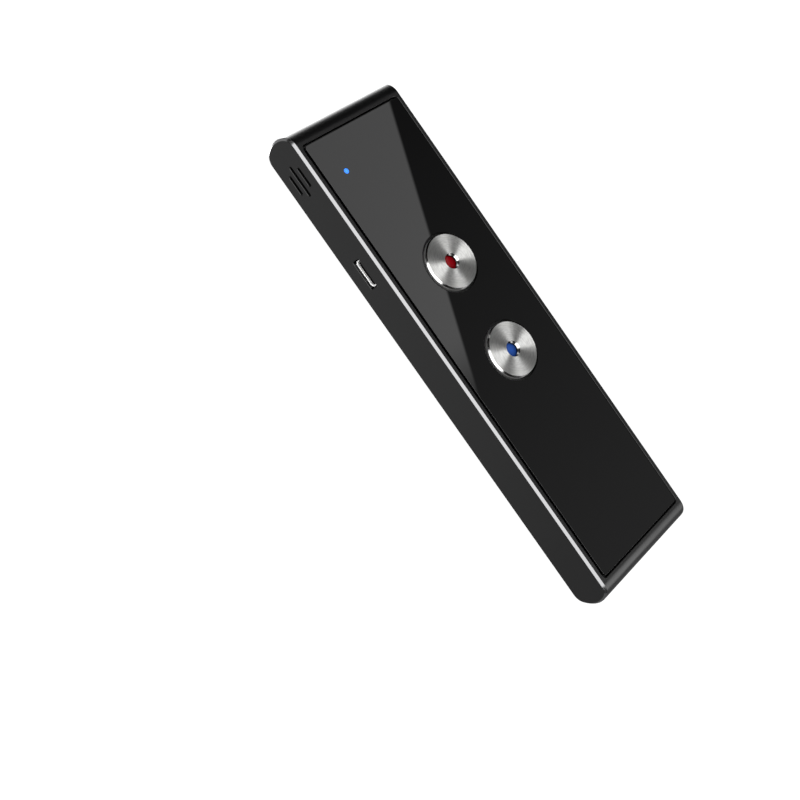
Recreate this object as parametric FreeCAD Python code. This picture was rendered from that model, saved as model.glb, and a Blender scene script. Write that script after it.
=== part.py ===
import FreeCAD, Part
import math
import os

# Handheld voice translator, lying on its back, in millimetres.
# The origin is the centre of the flat back face, +X is right, +Y is the top end, +Z is out of the front.

Vector = FreeCAD.Vector

# Outer body
body_length = 140.0
body_width = 38.45
body_thickness = 12.64
end_radius = 9.42
end_centre_height = 5.9
front_corner_radius = 3.93
back_corner_radius = 3.39
side_chamfer = 0.58
side_wall = 1.65
back_wall = 1.2
end_wall = 6.6
inner_corner_radius = 1.2

# Clearances
running_gap = 0.05
contact_gap = 0.04
seat_gap = 0.2
press_gap = 0.02
screw_gap = 0.15

# Front panel
panel_groove_side = 0.52
panel_groove_end = 0.6
panel_end_border = 5.35
panel_thickness = 1.0
panel_proud = 0.25
panel_corner_radius = 0.8
panel_edge_bevel = 0.15
adhesive_thickness = 0.15
adhesive_inset = 0.3
adhesive_border = 2.0

# Inner frame under the panel
frame_thickness = 1.8
frame_boss_radius = 1.9
window_end_margin = 6.0
window_side_margin = 5.6
window_radius = 2.0

# Round front buttons
button_radius = 7.55
button_height = 1.1
button_edge_bevel = 0.22
button_travel = 0.35
button_hole_gap = 0.65
button_flange_lip = 0.55
button_flange_thickness = 0.8
button_flange_gap = 0.3
button_stop_thickness = 0.6
button_stop_overlap = 2.6
button_roof = 1.44
button_skirt = 1.35
red_button_from_top = 48.6
button_spacing = 26.9
lens_radius = 2.0
lens_depth = 1.15
lens_flange_lip = 2.0
lens_flange_thickness = 0.8
lens_stem_radius = 1.5

# Status light
status_from_side = 6.455
status_from_top = 15.9
status_radius = 0.8
status_flange_lip = 0.7
status_flange_thickness = 0.6

# Speaker grille in the back wall
grille_columns = 12
grille_rows = 10
grille_blind_rings = 2
grille_pitch = 2.7
grille_hole_radius = 0.55
grille_blind_depth = 0.55
grille_from_top = 21.7

# Microphone slots in both sides
mic_from_top = 11.5
mic_slot_width = 0.98
mic_slot_length = 8.7
mic_outer_slot_length = 5.5
mic_slot_pitch = 2.35
mic_boot_thickness = 3.0
mic_boot_length = 9.5
mic_boot_height = 6.9
mic_radius = 2.9
mic_length = 2.0
mic_port_depth = 0.6

# Side keys
key_thickness = 3.0
key_proud = 0.62
key_opening_gap = 0.2
key_corner_radius = 0.75
key_bevel = 0.32
key_flange_lip = 0.8
key_flange_thickness = 0.8
power_key_from_top = 38.7
power_key_length = 8.0
power_key_travel = 0.25
key_spacing = 22.3
volume_key_length = 24.0
rocker_angle = 1.2
rocker_flange_gap = 0.35
rocker_pad_thickness = 0.5
rocker_pad_width = 1.6
rocker_lug_radius = 1.1
rocker_lug_reach = 0.98
rocker_lug_height = 2.0
rocker_pin_radius = 0.5
rocker_pin_gap = 0.04
volume_switch_offset = 8.0
bracket_ear = 1.0
bracket_side_wall = 0.7
bracket_slot_gap = 0.15
bracket_front_gap = 0.22
bracket_back_gap = 0.45

# Side switches on their own upright board
side_switch_depth = 2.6
side_switch_width = 4.6
side_switch_height = 3.0
side_plunger_length = 1.0
side_plunger_width = 2.0
side_plunger_height = 1.4
side_plunger_root = 0.7
key_board_thickness = 0.8
key_board_height = 5.8
key_board_margin = 0.8

# Main board
board_height = 5.2
board_thickness = 1.0
board_side_gap = 0.6
board_end_gap = 1.0
board_notch_gap = 0.2
board_mic_gap = 2.0

# Front switches on the main board
switch_side = 6.0
switch_body_height = 1.8
switch_plunger_height = 2.6
switch_plunger_radius = 1.5
switch_plunger_root = 0.9
switch_floor = 0.15
led_length = 1.6
led_width = 0.8
led_height = 0.7
led_offset = 4.8

# Socket in the left side
usb_from_top = 39.0
usb_height = 6.12
usb_opening_length = 8.2
usb_opening_height = 2.6
usb_recess = 0.6
usb_length = 7.5
usb_thickness = 2.4
usb_wall = 0.28
usb_depth = 5.0
usb_lower_bevel = 0.55
usb_tab_length = 1.0
usb_tab_thickness = 0.3
usb_tab_depth = 1.6
usb_tongue_width = 4.4
usb_tongue_thickness = 0.6
usb_tongue_setback = 0.7
usb_tongue_drop = 0.25
usb_root_depth = 1.0
usb_contact_count = 5
usb_contact_pitch = 0.65
usb_contact_width = 0.35
usb_contact_thickness = 0.12

# Speaker, facing the grille
speaker_boss_gap = 0.24
speaker_mesh_thickness = 0.15
speaker_gasket_thickness = 0.6
speaker_gasket_width = 1.2
speaker_frame_height = 1.6
speaker_frame_wall = 0.8
speaker_cone_thickness = 0.35
speaker_cone_depth = 0.9
speaker_dome_radius = 3.4
speaker_magnet_radius = 7.0
speaker_magnet_height = 1.5
speaker_bridge_thickness = 0.5
lead_radius = 0.35
lead_spacing = 1.6
lead_bend = 1.0

# Battery
battery_pad_thickness = 0.2
battery_pad_inset = 1.5
battery_side_gap = 1.575
battery_boss_gap = 0.6
battery_thickness = 4.4
battery_edge_radius = 1.4
protection_length = 3.0
protection_gap = 1.0
protection_inset = 4.0
protection_thickness = 0.8
connector_length = 5.0
connector_depth = 3.0
connector_height = 1.6
connector_above_screws = 1.6

# Chips on the main board
processor_x = 2.5
processor_from_top = 62.5
processor_side = 11.0
processor_height = 1.3
memory_x = -9.0
memory_from_top = 64.0
memory_side = 8.0
memory_height = 1.1
audio_x = 2.0
audio_from_top = 42.0
audio_side = 5.0
audio_height = 0.9
shield_x = -5.0
shield_from_top = 51.0
shield_wall = 0.2
shield_margin = 0.5
shield_height = 1.9
radio_side_x = 8.0
radio_side_y = 7.0
radio_height = 1.1
antenna_from_bottom = 12.5
antenna_length = 9.0
antenna_width = 3.0
antenna_height = 1.2

# Screws that clamp the frame and the board to the housing
screw_radius = 0.8
screw_head_radius = 1.45
screw_head_height = 0.8
screw_recess_depth = 0.45
screw_recess_width = 0.4
screw_recess_length = 1.8
screw_reach = 3.2
boss_radius = 2.0
screw_side_inset = 3.575
screw_end_inset = 9.6
screw_top_x = 6.5
screw_upper_from_top = 30.2
screw_middle_from_top = 78.6

# Places and heights, all from the values above
half_width = body_width / 2
half_length = body_length / 2
side_middle = body_thickness / 2
wall_x = half_width - side_wall
cavity_y = half_length - end_wall
pocket_y = half_length - panel_end_border
panel_top = body_thickness + panel_proud
panel_bottom = panel_top - panel_thickness
frame_top = panel_bottom - adhesive_thickness
frame_bottom = frame_top - frame_thickness
board_bottom = back_wall + board_height
board_top = board_bottom + board_thickness
red_button_y = half_length - red_button_from_top
blue_button_y = red_button_y - button_spacing
status_x = -(wall_x - panel_groove_side - status_from_side)
status_y = half_length - status_from_top
grille_y = half_length - grille_from_top
mic_y = half_length - mic_from_top
power_key_y = half_length - power_key_from_top
volume_key_y = power_key_y - key_spacing
usb_y = half_length - usb_from_top
screw_side_x = wall_x - screw_side_inset
screw_top_y = half_length - screw_end_inset
screw_upper_y = half_length - screw_upper_from_top
screw_middle_y = half_length - screw_middle_from_top
screw_lower_y = -half_length + screw_end_inset

# Front buttons, from the top down
button_top = body_thickness + button_height
button_hole_radius = button_radius + button_hole_gap
flange_radius = button_hole_radius + button_flange_lip
flange_top = panel_bottom - running_gap
flange_bottom = flange_top - button_flange_thickness
flange_bore_radius = flange_radius + button_flange_gap
button_stop_top = frame_bottom + button_stop_thickness
button_stop_radius = flange_radius - button_stop_overlap
button_ceiling = button_top - button_roof
lens_top = button_top - lens_depth
lens_flange_radius = lens_radius + lens_flange_lip
switch_plunger_top = board_top + switch_plunger_height
switch_plunger_bottom = board_top + switch_body_height - switch_plunger_root
button_cup_radius = button_radius - button_skirt

# Side keys, from the outside in
key_face_x = half_width + key_proud
power_flange_x = wall_x - running_gap
rocker_flange_x = wall_x - rocker_flange_gap
rocker_flange_back_x = rocker_flange_x - key_flange_thickness
rocker_pad_x = rocker_flange_back_x - rocker_pad_thickness
rocker_pivot_x = rocker_flange_back_x - rocker_lug_reach
side_plunger_x = rocker_pad_x - contact_gap
side_switch_x = side_plunger_x - side_plunger_length
key_board_x = side_switch_x - side_switch_depth
key_board_back_x = key_board_x - key_board_thickness
key_board_low_y = volume_key_y - volume_key_length / 2 - key_board_margin
key_board_high_y = power_key_y + power_key_length / 2 + key_board_margin

board_half_width = wall_x - board_side_gap
board_half_length = cavity_y - board_end_gap
board_mic_half_width = wall_x - mic_boot_thickness - board_mic_gap
speaker_room_top = math.hypot(screw_top_x, screw_top_y - grille_y)
speaker_room_side = math.hypot(screw_side_x, screw_upper_y - grille_y)
speaker_radius = min(speaker_room_top, speaker_room_side) - boss_radius - speaker_boss_gap
speaker_mesh_top = back_wall + speaker_mesh_thickness
speaker_gasket_top = speaker_mesh_top + speaker_gasket_thickness
speaker_frame_top = speaker_gasket_top + speaker_frame_height
speaker_bridge_top = speaker_frame_top + speaker_bridge_thickness
battery_bottom = back_wall + battery_pad_thickness
battery_top = battery_bottom + battery_thickness
battery_width = 2 * (wall_x - battery_side_gap)
battery_low_y = screw_lower_y + boss_radius + battery_boss_gap
battery_top_y = screw_middle_y - boss_radius - protection_gap - protection_length
battery_length = battery_top_y - battery_low_y
battery_y = (battery_top_y + battery_low_y) / 2
connector_y = screw_middle_y + connector_above_screws
processor_y = half_length - processor_from_top
memory_y = half_length - memory_from_top
audio_y = half_length - audio_from_top
shield_y = half_length - shield_from_top
antenna_y = -half_length + antenna_from_bottom

screw_places = [
    (-screw_side_x, screw_upper_y),
    (screw_side_x, screw_upper_y),
    (-screw_side_x, screw_middle_y),
    (screw_side_x, screw_middle_y),
    (-screw_side_x, screw_lower_y),
    (screw_side_x, screw_lower_y),
    (-screw_top_x, screw_top_y),
    (screw_top_x, screw_top_y),
]


def block(x0, x1, y0, y1, z0, z1):
    """A box between two corners."""
    return Part.makeBox(x1 - x0, y1 - y0, z1 - z0, Vector(x0, y0, z0))


def centred_block(x, y, size_x, size_y, z0, z1):
    """A box centred on x and y, between two heights."""
    return block(x - size_x / 2, x + size_x / 2, y - size_y / 2, y + size_y / 2, z0, z1)


def disc(x, y, radius, z0, z1):
    """An upright cylinder between two heights."""
    return Part.makeCylinder(radius, z1 - z0, Vector(x, y, z0))


def rod_along_x(x0, x1, y, z, radius):
    """A cylinder along X."""
    return Part.makeCylinder(radius, x1 - x0, Vector(x0, y, z), Vector(1, 0, 0))


def edges_along(shape, direction):
    """The straight edges of a shape that run along one direction."""
    found = []
    for edge in shape.Edges:
        if isinstance(edge.Curve, Part.Line):
            run = edge.Vertexes[-1].Point - edge.Vertexes[0].Point
            if run.normalize().cross(direction).Length < 0.001:
                found.append(edge)
    return found


def upright_rounded(shape, radius):
    """The same box with its four upright edges rounded."""
    return shape.makeFillet(radius, edges_along(shape, Vector(0, 0, 1)))


def side_rounded(shape, radius):
    """The same box with its four edges along X rounded."""
    return shape.makeFillet(radius, edges_along(shape, Vector(1, 0, 0)))


def joined(shapes):
    """All shapes fused into one, with the seams between faces removed."""
    return shapes[0].multiFuse(shapes[1:]).removeSplitter()


def without(shape, tools):
    """A shape with every tool cut out of it."""
    return shape.cut(tools).removeSplitter()


def rim_bevel(solid, axis_place, bevel):
    """A solid with the outline of its face at x = axis_place bevelled."""
    rim = []
    for edge in solid.Edges:
        box = edge.BoundBox
        if abs(box.XMin - axis_place) < 0.001 and abs(box.XMax - axis_place) < 0.001:
            rim.append(edge)
    return solid.makeChamfer(bevel, rim)


def top_bevel(solid, height, bevel):
    """A solid with the edges that lie at one height bevelled."""
    rim = []
    for edge in solid.Edges:
        box = edge.BoundBox
        if abs(box.ZMin - height) < 0.001 and abs(box.ZMax - height) < 0.001:
            rim.append(edge)
    return solid.makeChamfer(bevel, rim)


def save(node, shape):
    """Write one node to its own file."""
    shape.exportStep("parts/" + node + ".step")


def end_points(side, corner_radius, at_front):
    """The corner arc at one end: its start on the flat, its middle, and where it meets the end arc."""
    centre_y = half_length - end_radius
    if at_front:
        corner_height = body_thickness - corner_radius
        flat_height = body_thickness
    else:
        corner_height = corner_radius
        flat_height = 0.0
    rise = corner_height - end_centre_height
    reach = math.sqrt((end_radius - corner_radius) ** 2 - rise ** 2)
    corner_y = centre_y + reach
    meet_angle = math.atan2(rise, reach)
    flat_angle = math.copysign(math.pi / 2, rise)
    middle_angle = (meet_angle + flat_angle) / 2
    start = Vector(0, side * corner_y, flat_height)
    middle = Vector(
        0,
        side * (corner_y + corner_radius * math.cos(middle_angle)),
        corner_height + corner_radius * math.sin(middle_angle),
    )
    meet = Vector(
        0,
        side * (centre_y + end_radius * math.cos(meet_angle)),
        end_centre_height + end_radius * math.sin(meet_angle),
    )
    return start, middle, meet


def body_solid():
    """The outer body: one profile in Y and Z, drawn along X, with bevels round both flat sides."""
    edges = []
    flats = []
    for side in (1, -1):
        front = end_points(side, front_corner_radius, True)
        back = end_points(side, back_corner_radius, False)
        tip = Vector(0, side * half_length, end_centre_height)
        edges.append(Part.Arc(*front).toShape())
        edges.append(Part.Arc(front[2], tip, back[2]).toShape())
        edges.append(Part.Arc(back[2], back[1], back[0]).toShape())
        flats.append((front[0], back[0]))
    edges.append(Part.LineSegment(flats[0][0], flats[1][0]).toShape())
    edges.append(Part.LineSegment(flats[0][1], flats[1][1]).toShape())
    profile = Part.Wire(Part.__sortEdges__(edges))
    face = Part.Face(profile)
    face.translate(Vector(-half_width, 0, 0))
    solid = face.extrude(Vector(body_width, 0, 0))
    for place in (-half_width, half_width):
        solid = rim_bevel(solid, place, side_chamfer)
    return solid


def side_slot(x0, x1, y, z, length, width):
    """A slot with round ends that runs along Y and is cut along X."""
    reach = (length - width) / 2
    middle = block(x0, x1, y - reach, y + reach, z - width / 2, z + width / 2)
    ends = [rod_along_x(x0, x1, y + sign * reach, z, width / 2) for sign in (1, -1)]
    return joined([middle] + ends)


def mic_slots(x0, x1):
    """The three microphone slots on one side."""
    slots = [side_slot(x0, x1, mic_y, side_middle, mic_slot_length, mic_slot_width)]
    for sign in (1, -1):
        height = side_middle + sign * mic_slot_pitch
        slots.append(side_slot(x0, x1, mic_y, height, mic_outer_slot_length, mic_slot_width))
    return slots


def grille_holes():
    """Through holes in the middle of the grille and blind dimples in its outer rings."""
    holes = []
    for column in range(grille_columns):
        for row in range(grille_rows):
            x = (column - (grille_columns - 1) / 2) * grille_pitch
            y = grille_y + (row - (grille_rows - 1) / 2) * grille_pitch
            ring = min(column, row, grille_columns - 1 - column, grille_rows - 1 - row)
            if ring < grille_blind_rings:
                depth = grille_blind_depth
            else:
                depth = back_wall
            holes.append(disc(x, y, grille_hole_radius, 0.0, depth))
    return holes


def key_opening(y, length):
    """The opening for one side key, with its clearance, through the right wall."""
    half = length / 2 + key_opening_gap
    thick = key_thickness / 2 + key_opening_gap
    box = block(wall_x, half_width, y - half, y + half, side_middle - thick, side_middle + thick)
    return side_rounded(box, key_corner_radius + key_opening_gap)


def make_housing():
    """The wrap-round shell: pocket, cavity, screw bosses and every opening."""
    pocket = upright_rounded(
        block(-wall_x, wall_x, -pocket_y, pocket_y, frame_bottom, body_thickness),
        inner_corner_radius,
    )
    cavity = upright_rounded(
        block(-wall_x, wall_x, -cavity_y, cavity_y, back_wall, frame_bottom),
        inner_corner_radius,
    )
    shell = body_solid().cut([pocket, cavity])
    bosses = [disc(x, y, boss_radius, back_wall, board_bottom) for x, y in screw_places]
    shell = joined([shell] + bosses)
    low = board_bottom - screw_reach
    tools = [disc(x, y, screw_radius + press_gap, low, board_bottom) for x, y in screw_places]
    tools += grille_holes()
    tools += mic_slots(-half_width, -wall_x)
    tools += mic_slots(wall_x, half_width)
    tools.append(key_opening(power_key_y, power_key_length))
    tools.append(key_opening(volume_key_y, volume_key_length))
    usb_y0 = usb_y - usb_opening_length / 2
    usb_z0 = usb_height - usb_opening_height / 2
    tools.append(
        block(-half_width, -wall_x, usb_y0, usb_y0 + usb_opening_length, usb_z0, usb_z0 + usb_opening_height)
    )
    save("housing", without(shell, tools))


def make_front_panel():
    """The glossy inset panel, its bevelled edge, the button holes and the light hole."""
    half_x = wall_x - panel_groove_side
    half_y = pocket_y - panel_groove_end
    plate = upright_rounded(
        block(-half_x, half_x, -half_y, half_y, panel_bottom, panel_top),
        panel_corner_radius,
    )
    plate = top_bevel(plate, panel_top, panel_edge_bevel)
    holes = [disc(0, y, button_hole_radius, panel_bottom, panel_top) for y in (red_button_y, blue_button_y)]
    holes.append(disc(status_x, status_y, status_radius + press_gap, panel_bottom, panel_top))
    save("front_panel", without(plate, holes))


def make_panel_adhesive():
    """The thin adhesive border that holds the panel on the frame."""
    half_x = wall_x - panel_groove_side - adhesive_inset
    half_y = pocket_y - panel_groove_end - adhesive_inset
    inner_x = half_x - adhesive_border
    inner_y = half_y - adhesive_border
    outer = block(-half_x, half_x, -half_y, half_y, frame_top, panel_bottom)
    inner = block(-inner_x, inner_x, -inner_y, inner_y, frame_top, panel_bottom)
    save("panel_adhesive", outer.cut(inner))


def make_inner_frame():
    """The moulded frame: it carries the panel and presses the board on to the housing's bosses."""
    half_x = wall_x - seat_gap
    half_y = pocket_y - seat_gap
    plate = upright_rounded(
        block(-half_x, half_x, -half_y, half_y, frame_bottom, frame_top),
        inner_corner_radius,
    )
    pillars = [disc(x, y, frame_boss_radius, board_top, frame_bottom) for x, y in screw_places]
    plate = joined([plate] + pillars)
    tools = []
    for x, y in screw_places:
        tools.append(disc(x, y, screw_radius + screw_gap, board_top, frame_top))
        head = screw_head_radius + screw_gap
        tools.append(disc(x, y, head, frame_top - screw_head_height, frame_top))
    for y in (red_button_y, blue_button_y):
        tools.append(disc(0, y, flange_bore_radius, button_stop_top, frame_top))
        tools.append(disc(0, y, button_stop_radius, frame_bottom, button_stop_top))
    tools.append(disc(status_x, status_y, status_radius + press_gap, frame_bottom, frame_top))
    flange = status_radius + status_flange_lip + press_gap
    tools.append(disc(status_x, status_y, flange, frame_top - status_flange_thickness, frame_top))
    window = block(
        -wall_x + window_side_margin,
        wall_x - window_side_margin,
        battery_low_y + window_end_margin,
        battery_top_y - window_end_margin,
        frame_bottom,
        frame_top,
    )
    tools.append(upright_rounded(window, window_radius))
    save("inner_frame", without(plate, tools))


def make_screws():
    """Eight identical pan screws with a cross recess, in one node."""
    screws = []
    head_base = frame_top - screw_head_height
    recess_base = frame_top - screw_recess_depth
    for x, y in screw_places:
        shank = disc(x, y, screw_radius, board_bottom - screw_reach, head_base)
        head = disc(x, y, screw_head_radius, head_base, frame_top)
        arms = [
            centred_block(x, y, screw_recess_length, screw_recess_width, recess_base, frame_top),
            centred_block(x, y, screw_recess_width, screw_recess_length, recess_base, frame_top),
        ]
        screws.append(without(joined([shank, head]), arms))
    save("frame_screws", Part.makeCompound(screws))


def make_button(name, y):
    """A round cap with a skirt, a retaining flange and a hole for its lens."""
    cap = disc(0, y, button_radius, flange_bottom, button_top)
    cap = top_bevel(cap, button_top, button_edge_bevel)
    flange = disc(0, y, flange_radius, flange_bottom, flange_top)
    cup = disc(0, y, button_cup_radius, flange_bottom, button_ceiling)
    bore = disc(0, y, lens_radius + press_gap, button_ceiling, button_top)
    save(name + "_button", without(joined([cap, flange]), [cup, bore]))


def make_lens(name, y):
    """The coloured lens: a window in the cap, a flange under it and a stem down to the switch."""
    window = disc(0, y, lens_radius, button_ceiling, lens_top)
    flange = disc(0, y, lens_flange_radius, button_ceiling - lens_flange_thickness, button_ceiling)
    stem = disc(0, y, lens_stem_radius, switch_plunger_top, button_ceiling - lens_flange_thickness)
    save(name + "_button_lens", joined([window, flange, stem]))


def make_front_switch(name, y):
    """A square switch on the board with a round plunger, and the small lamp beside it."""
    body_top = board_top + switch_body_height
    body = centred_block(0, y, switch_side, switch_side, board_top, body_top)
    well_floor = switch_plunger_bottom - button_travel - switch_floor
    well = disc(0, y, switch_plunger_radius + running_gap, well_floor, body_top)
    save(name + "_switch_body", without(body, [well]))
    plunger = disc(0, y, switch_plunger_radius, switch_plunger_bottom, switch_plunger_top)
    save(name + "_switch_plunger", plunger)
    lamp = centred_block(led_offset, y, led_width, led_length, board_top, board_top + led_height)
    save(name + "_led", lamp)


def make_status_light():
    """The lamp on the board and the light pipe that ends flush with the panel."""
    lamp_top = board_top + led_height
    save("status_led", centred_block(status_x, status_y, led_length, led_width, board_top, lamp_top))
    pipe = disc(status_x, status_y, status_radius, lamp_top + running_gap, panel_top)
    flange = disc(
        status_x,
        status_y,
        status_radius + status_flange_lip,
        frame_top - status_flange_thickness,
        frame_top,
    )
    save("status_light_pipe", joined([pipe, flange]))


def key_cap(y, length, back_x):
    """The part of a side key that stands through the wall, with its bevelled face."""
    thick = key_thickness / 2
    box = block(back_x, key_face_x, y - length / 2, y + length / 2, side_middle - thick, side_middle + thick)
    return rim_bevel(side_rounded(box, key_corner_radius), key_face_x, key_bevel)


def key_flange(y, length, front_x):
    """The lip behind the wall that keeps a side key in."""
    half = length / 2 + key_flange_lip
    thick = key_thickness / 2 + key_flange_lip
    box = block(
        front_x - key_flange_thickness,
        front_x,
        y - half,
        y + half,
        side_middle - thick,
        side_middle + thick,
    )
    return side_rounded(box, key_corner_radius + key_flange_lip)


def key_pad(y, front_x, back_x):
    """The small pad on the back of a key that meets a switch plunger."""
    half = rocker_pad_width / 2
    return block(back_x, front_x, y - half, y + half, side_middle - half, side_middle + half)


def make_power_key():
    """The sliding power key."""
    cap = key_cap(power_key_y, power_key_length, power_flange_x)
    flange = key_flange(power_key_y, power_key_length, power_flange_x)
    pad = key_pad(power_key_y, power_flange_x - key_flange_thickness, side_plunger_x)
    save("power_key", joined([cap, flange, pad]))


def make_volume_rocker():
    """The rocking volume key: two pads on its back and a lug that turns on a pin."""
    pieces = [
        key_cap(volume_key_y, volume_key_length, rocker_flange_x),
        key_flange(volume_key_y, volume_key_length, rocker_flange_x),
    ]
    for sign in (1, -1):
        pad_y = volume_key_y + sign * volume_switch_offset
        pieces.append(key_pad(pad_y, rocker_flange_back_x, rocker_pad_x))
    low = side_middle - rocker_lug_height / 2
    high = side_middle + rocker_lug_height / 2
    pieces.append(disc(rocker_pivot_x, volume_key_y, rocker_lug_radius, low, high))
    pieces.append(
        block(
            rocker_pivot_x,
            rocker_flange_back_x,
            volume_key_y - rocker_lug_radius,
            volume_key_y + rocker_lug_radius,
            low,
            high,
        )
    )
    bore = disc(rocker_pivot_x, volume_key_y, rocker_pin_radius + rocker_pin_gap, low, high)
    save("volume_rocker", without(joined(pieces), [bore]))


def make_rocker_bracket():
    """The forked bracket on the key board and the pin through its two ears."""
    slot = rocker_lug_height / 2 + bracket_slot_gap
    ear = slot + bracket_ear
    half_y = rocker_lug_radius + bracket_side_wall
    front = rocker_flange_back_x - bracket_front_gap
    back = rocker_pivot_x - rocker_lug_radius - bracket_back_gap
    fork = block(
        key_board_x,
        front,
        volume_key_y - half_y,
        volume_key_y + half_y,
        side_middle - ear,
        side_middle + ear,
    )
    mouth = block(
        back,
        front,
        volume_key_y - half_y,
        volume_key_y + half_y,
        side_middle - slot,
        side_middle + slot,
    )
    low = side_middle - ear
    high = side_middle + ear
    hole = disc(rocker_pivot_x, volume_key_y, rocker_pin_radius + press_gap, low, high)
    save("rocker_bracket", without(fork, [mouth, hole]))
    save("rocker_pin", disc(rocker_pivot_x, volume_key_y, rocker_pin_radius, low, high))


def make_side_switch(name, y, travel):
    """A switch that lies on its side on the key board, and its square plunger."""
    half_y = side_switch_width / 2
    half_z = side_switch_height / 2
    body = block(
        key_board_x,
        side_switch_x,
        y - half_y,
        y + half_y,
        side_middle - half_z,
        side_middle + half_z,
    )
    well_y = side_plunger_width / 2 + running_gap
    well_z = side_plunger_height / 2 + running_gap
    root_x = side_switch_x - side_plunger_root
    well = block(
        root_x - travel - switch_floor,
        side_switch_x,
        y - well_y,
        y + well_y,
        side_middle - well_z,
        side_middle + well_z,
    )
    save(name + "_switch_body", without(body, [well]))
    plunger = block(
        root_x,
        side_plunger_x,
        y - side_plunger_width / 2,
        y + side_plunger_width / 2,
        side_middle - side_plunger_height / 2,
        side_middle + side_plunger_height / 2,
    )
    save(name + "_switch_plunger", plunger)


def make_key_board():
    """The upright board that carries the three side switches and meets the main board's edge."""
    half = key_board_height / 2
    save(
        "key_board",
        block(
            key_board_back_x,
            key_board_x,
            key_board_low_y,
            key_board_high_y,
            side_middle - half,
            side_middle + half,
        ),
    )


def make_main_board():
    """The main board: notches for the keys, the socket and the microphones, and its screw holes."""
    plate = block(
        -board_half_width,
        board_half_width,
        -board_half_length,
        board_half_length,
        board_bottom,
        board_top,
    )
    tools = [
        block(
            key_board_back_x,
            board_half_width,
            key_board_low_y - board_notch_gap,
            key_board_high_y + board_notch_gap,
            board_bottom,
            board_top,
        )
    ]
    usb_back = half_width - usb_recess - usb_depth - board_notch_gap
    usb_half = usb_length / 2 + board_notch_gap
    tools.append(
        block(-board_half_width, -usb_back, usb_y - usb_half, usb_y + usb_half, board_bottom, board_top)
    )
    mic_low = mic_y - mic_boot_length / 2 - board_notch_gap
    for sign in (1, -1):
        x_pair = sorted((sign * board_mic_half_width, sign * board_half_width))
        tools.append(block(x_pair[0], x_pair[1], mic_low, board_half_length, board_bottom, board_top))
    for x, y in screw_places:
        tools.append(disc(x, y, screw_radius + screw_gap, board_bottom, board_top))
    save("main_board", without(plate, tools))


def hanging_chip(x, y, size_x, size_y, height):
    """A flat package on the underside of the main board."""
    return centred_block(x, y, size_x, size_y, board_bottom - height, board_bottom)


def make_chips():
    """The packages on the main board, the shield over the radio, and the antenna on the front side."""
    save("processor", hanging_chip(processor_x, processor_y, processor_side, processor_side, processor_height))
    save("memory_chip", hanging_chip(memory_x, memory_y, memory_side, memory_side, memory_height))
    save("audio_chip", hanging_chip(audio_x, audio_y, audio_side, audio_side, audio_height))
    save("radio_chip", hanging_chip(shield_x, shield_y, radio_side_x, radio_side_y, radio_height))
    inner_x = radio_side_x + 2 * shield_margin
    inner_y = radio_side_y + 2 * shield_margin
    outer = hanging_chip(
        shield_x,
        shield_y,
        inner_x + 2 * shield_wall,
        inner_y + 2 * shield_wall,
        shield_height,
    )
    inner = hanging_chip(shield_x, shield_y, inner_x, inner_y, shield_height - shield_wall)
    save("shield_can", outer.cut(inner))
    antenna_top = board_top + antenna_height
    save("antenna", centred_block(0, antenna_y, antenna_length, antenna_width, board_top, antenna_top))


def usb_section(length, thickness, bevel):
    """The socket's outline in Y and Z: a rectangle with two bevelled lower corners."""
    y0 = usb_y - length / 2
    y1 = usb_y + length / 2
    z0 = usb_height - thickness / 2
    z1 = usb_height + thickness / 2
    corners = [
        (y0, z1),
        (y1, z1),
        (y1, z0 + bevel),
        (y1 - bevel, z0),
        (y0 + bevel, z0),
        (y0, z0 + bevel),
        (y0, z1),
    ]
    return Part.Face(Part.makePolygon([Vector(0, y, z) for y, z in corners]))


def make_usb_socket():
    """The charging socket: a metal sleeve with two tabs under the board, a tongue and its contacts."""
    mouth = -half_width + usb_recess
    back = mouth + usb_depth
    outer = usb_section(usb_length, usb_thickness, usb_lower_bevel)
    inner = usb_section(usb_length - 2 * usb_wall, usb_thickness - 2 * usb_wall, usb_lower_bevel)
    sleeve = outer.extrude(Vector(usb_depth, 0, 0))
    hollow = inner.extrude(Vector(usb_depth, 0, 0))
    for shape in (sleeve, hollow):
        shape.translate(Vector(mouth, 0, 0))
    tabs = []
    for sign in (1, -1):
        near = usb_y + sign * (usb_length / 2 - usb_wall)
        far = usb_y + sign * (usb_length / 2 + usb_tab_length)
        y_pair = sorted((near, far))
        low = board_bottom - usb_tab_thickness
        tabs.append(block(back - usb_tab_depth, back, y_pair[0], y_pair[1], low, board_bottom))
    save("usb_shell", without(joined([sleeve] + tabs), [hollow]))
    tongue_x = mouth + usb_tongue_setback
    tongue_z = usb_height + usb_tongue_drop
    tongue_half = usb_tongue_thickness / 2
    blade = block(
        tongue_x,
        back,
        usb_y - usb_tongue_width / 2,
        usb_y + usb_tongue_width / 2,
        tongue_z - tongue_half,
        tongue_z + tongue_half,
    )
    root = hollow.common(
        block(back - usb_root_depth, back, usb_y - usb_length, usb_y + usb_length, 0, body_thickness)
    )
    save("usb_tongue", joined([blade, root]))
    strips = []
    for index in range(usb_contact_count):
        y = usb_y + (index - (usb_contact_count - 1) / 2) * usb_contact_pitch
        strips.append(
            block(
                tongue_x,
                back - usb_root_depth,
                y - usb_contact_width / 2,
                y + usb_contact_width / 2,
                tongue_z - tongue_half - usb_contact_thickness,
                tongue_z - tongue_half,
            )
        )
    save("usb_contacts", Part.makeCompound(strips))


def ring(radius, width, z0, z1):
    """A flat ring round the speaker's axis."""
    return disc(0, grille_y, radius, z0, z1).cut(disc(0, grille_y, radius - width, z0, z1))


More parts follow.
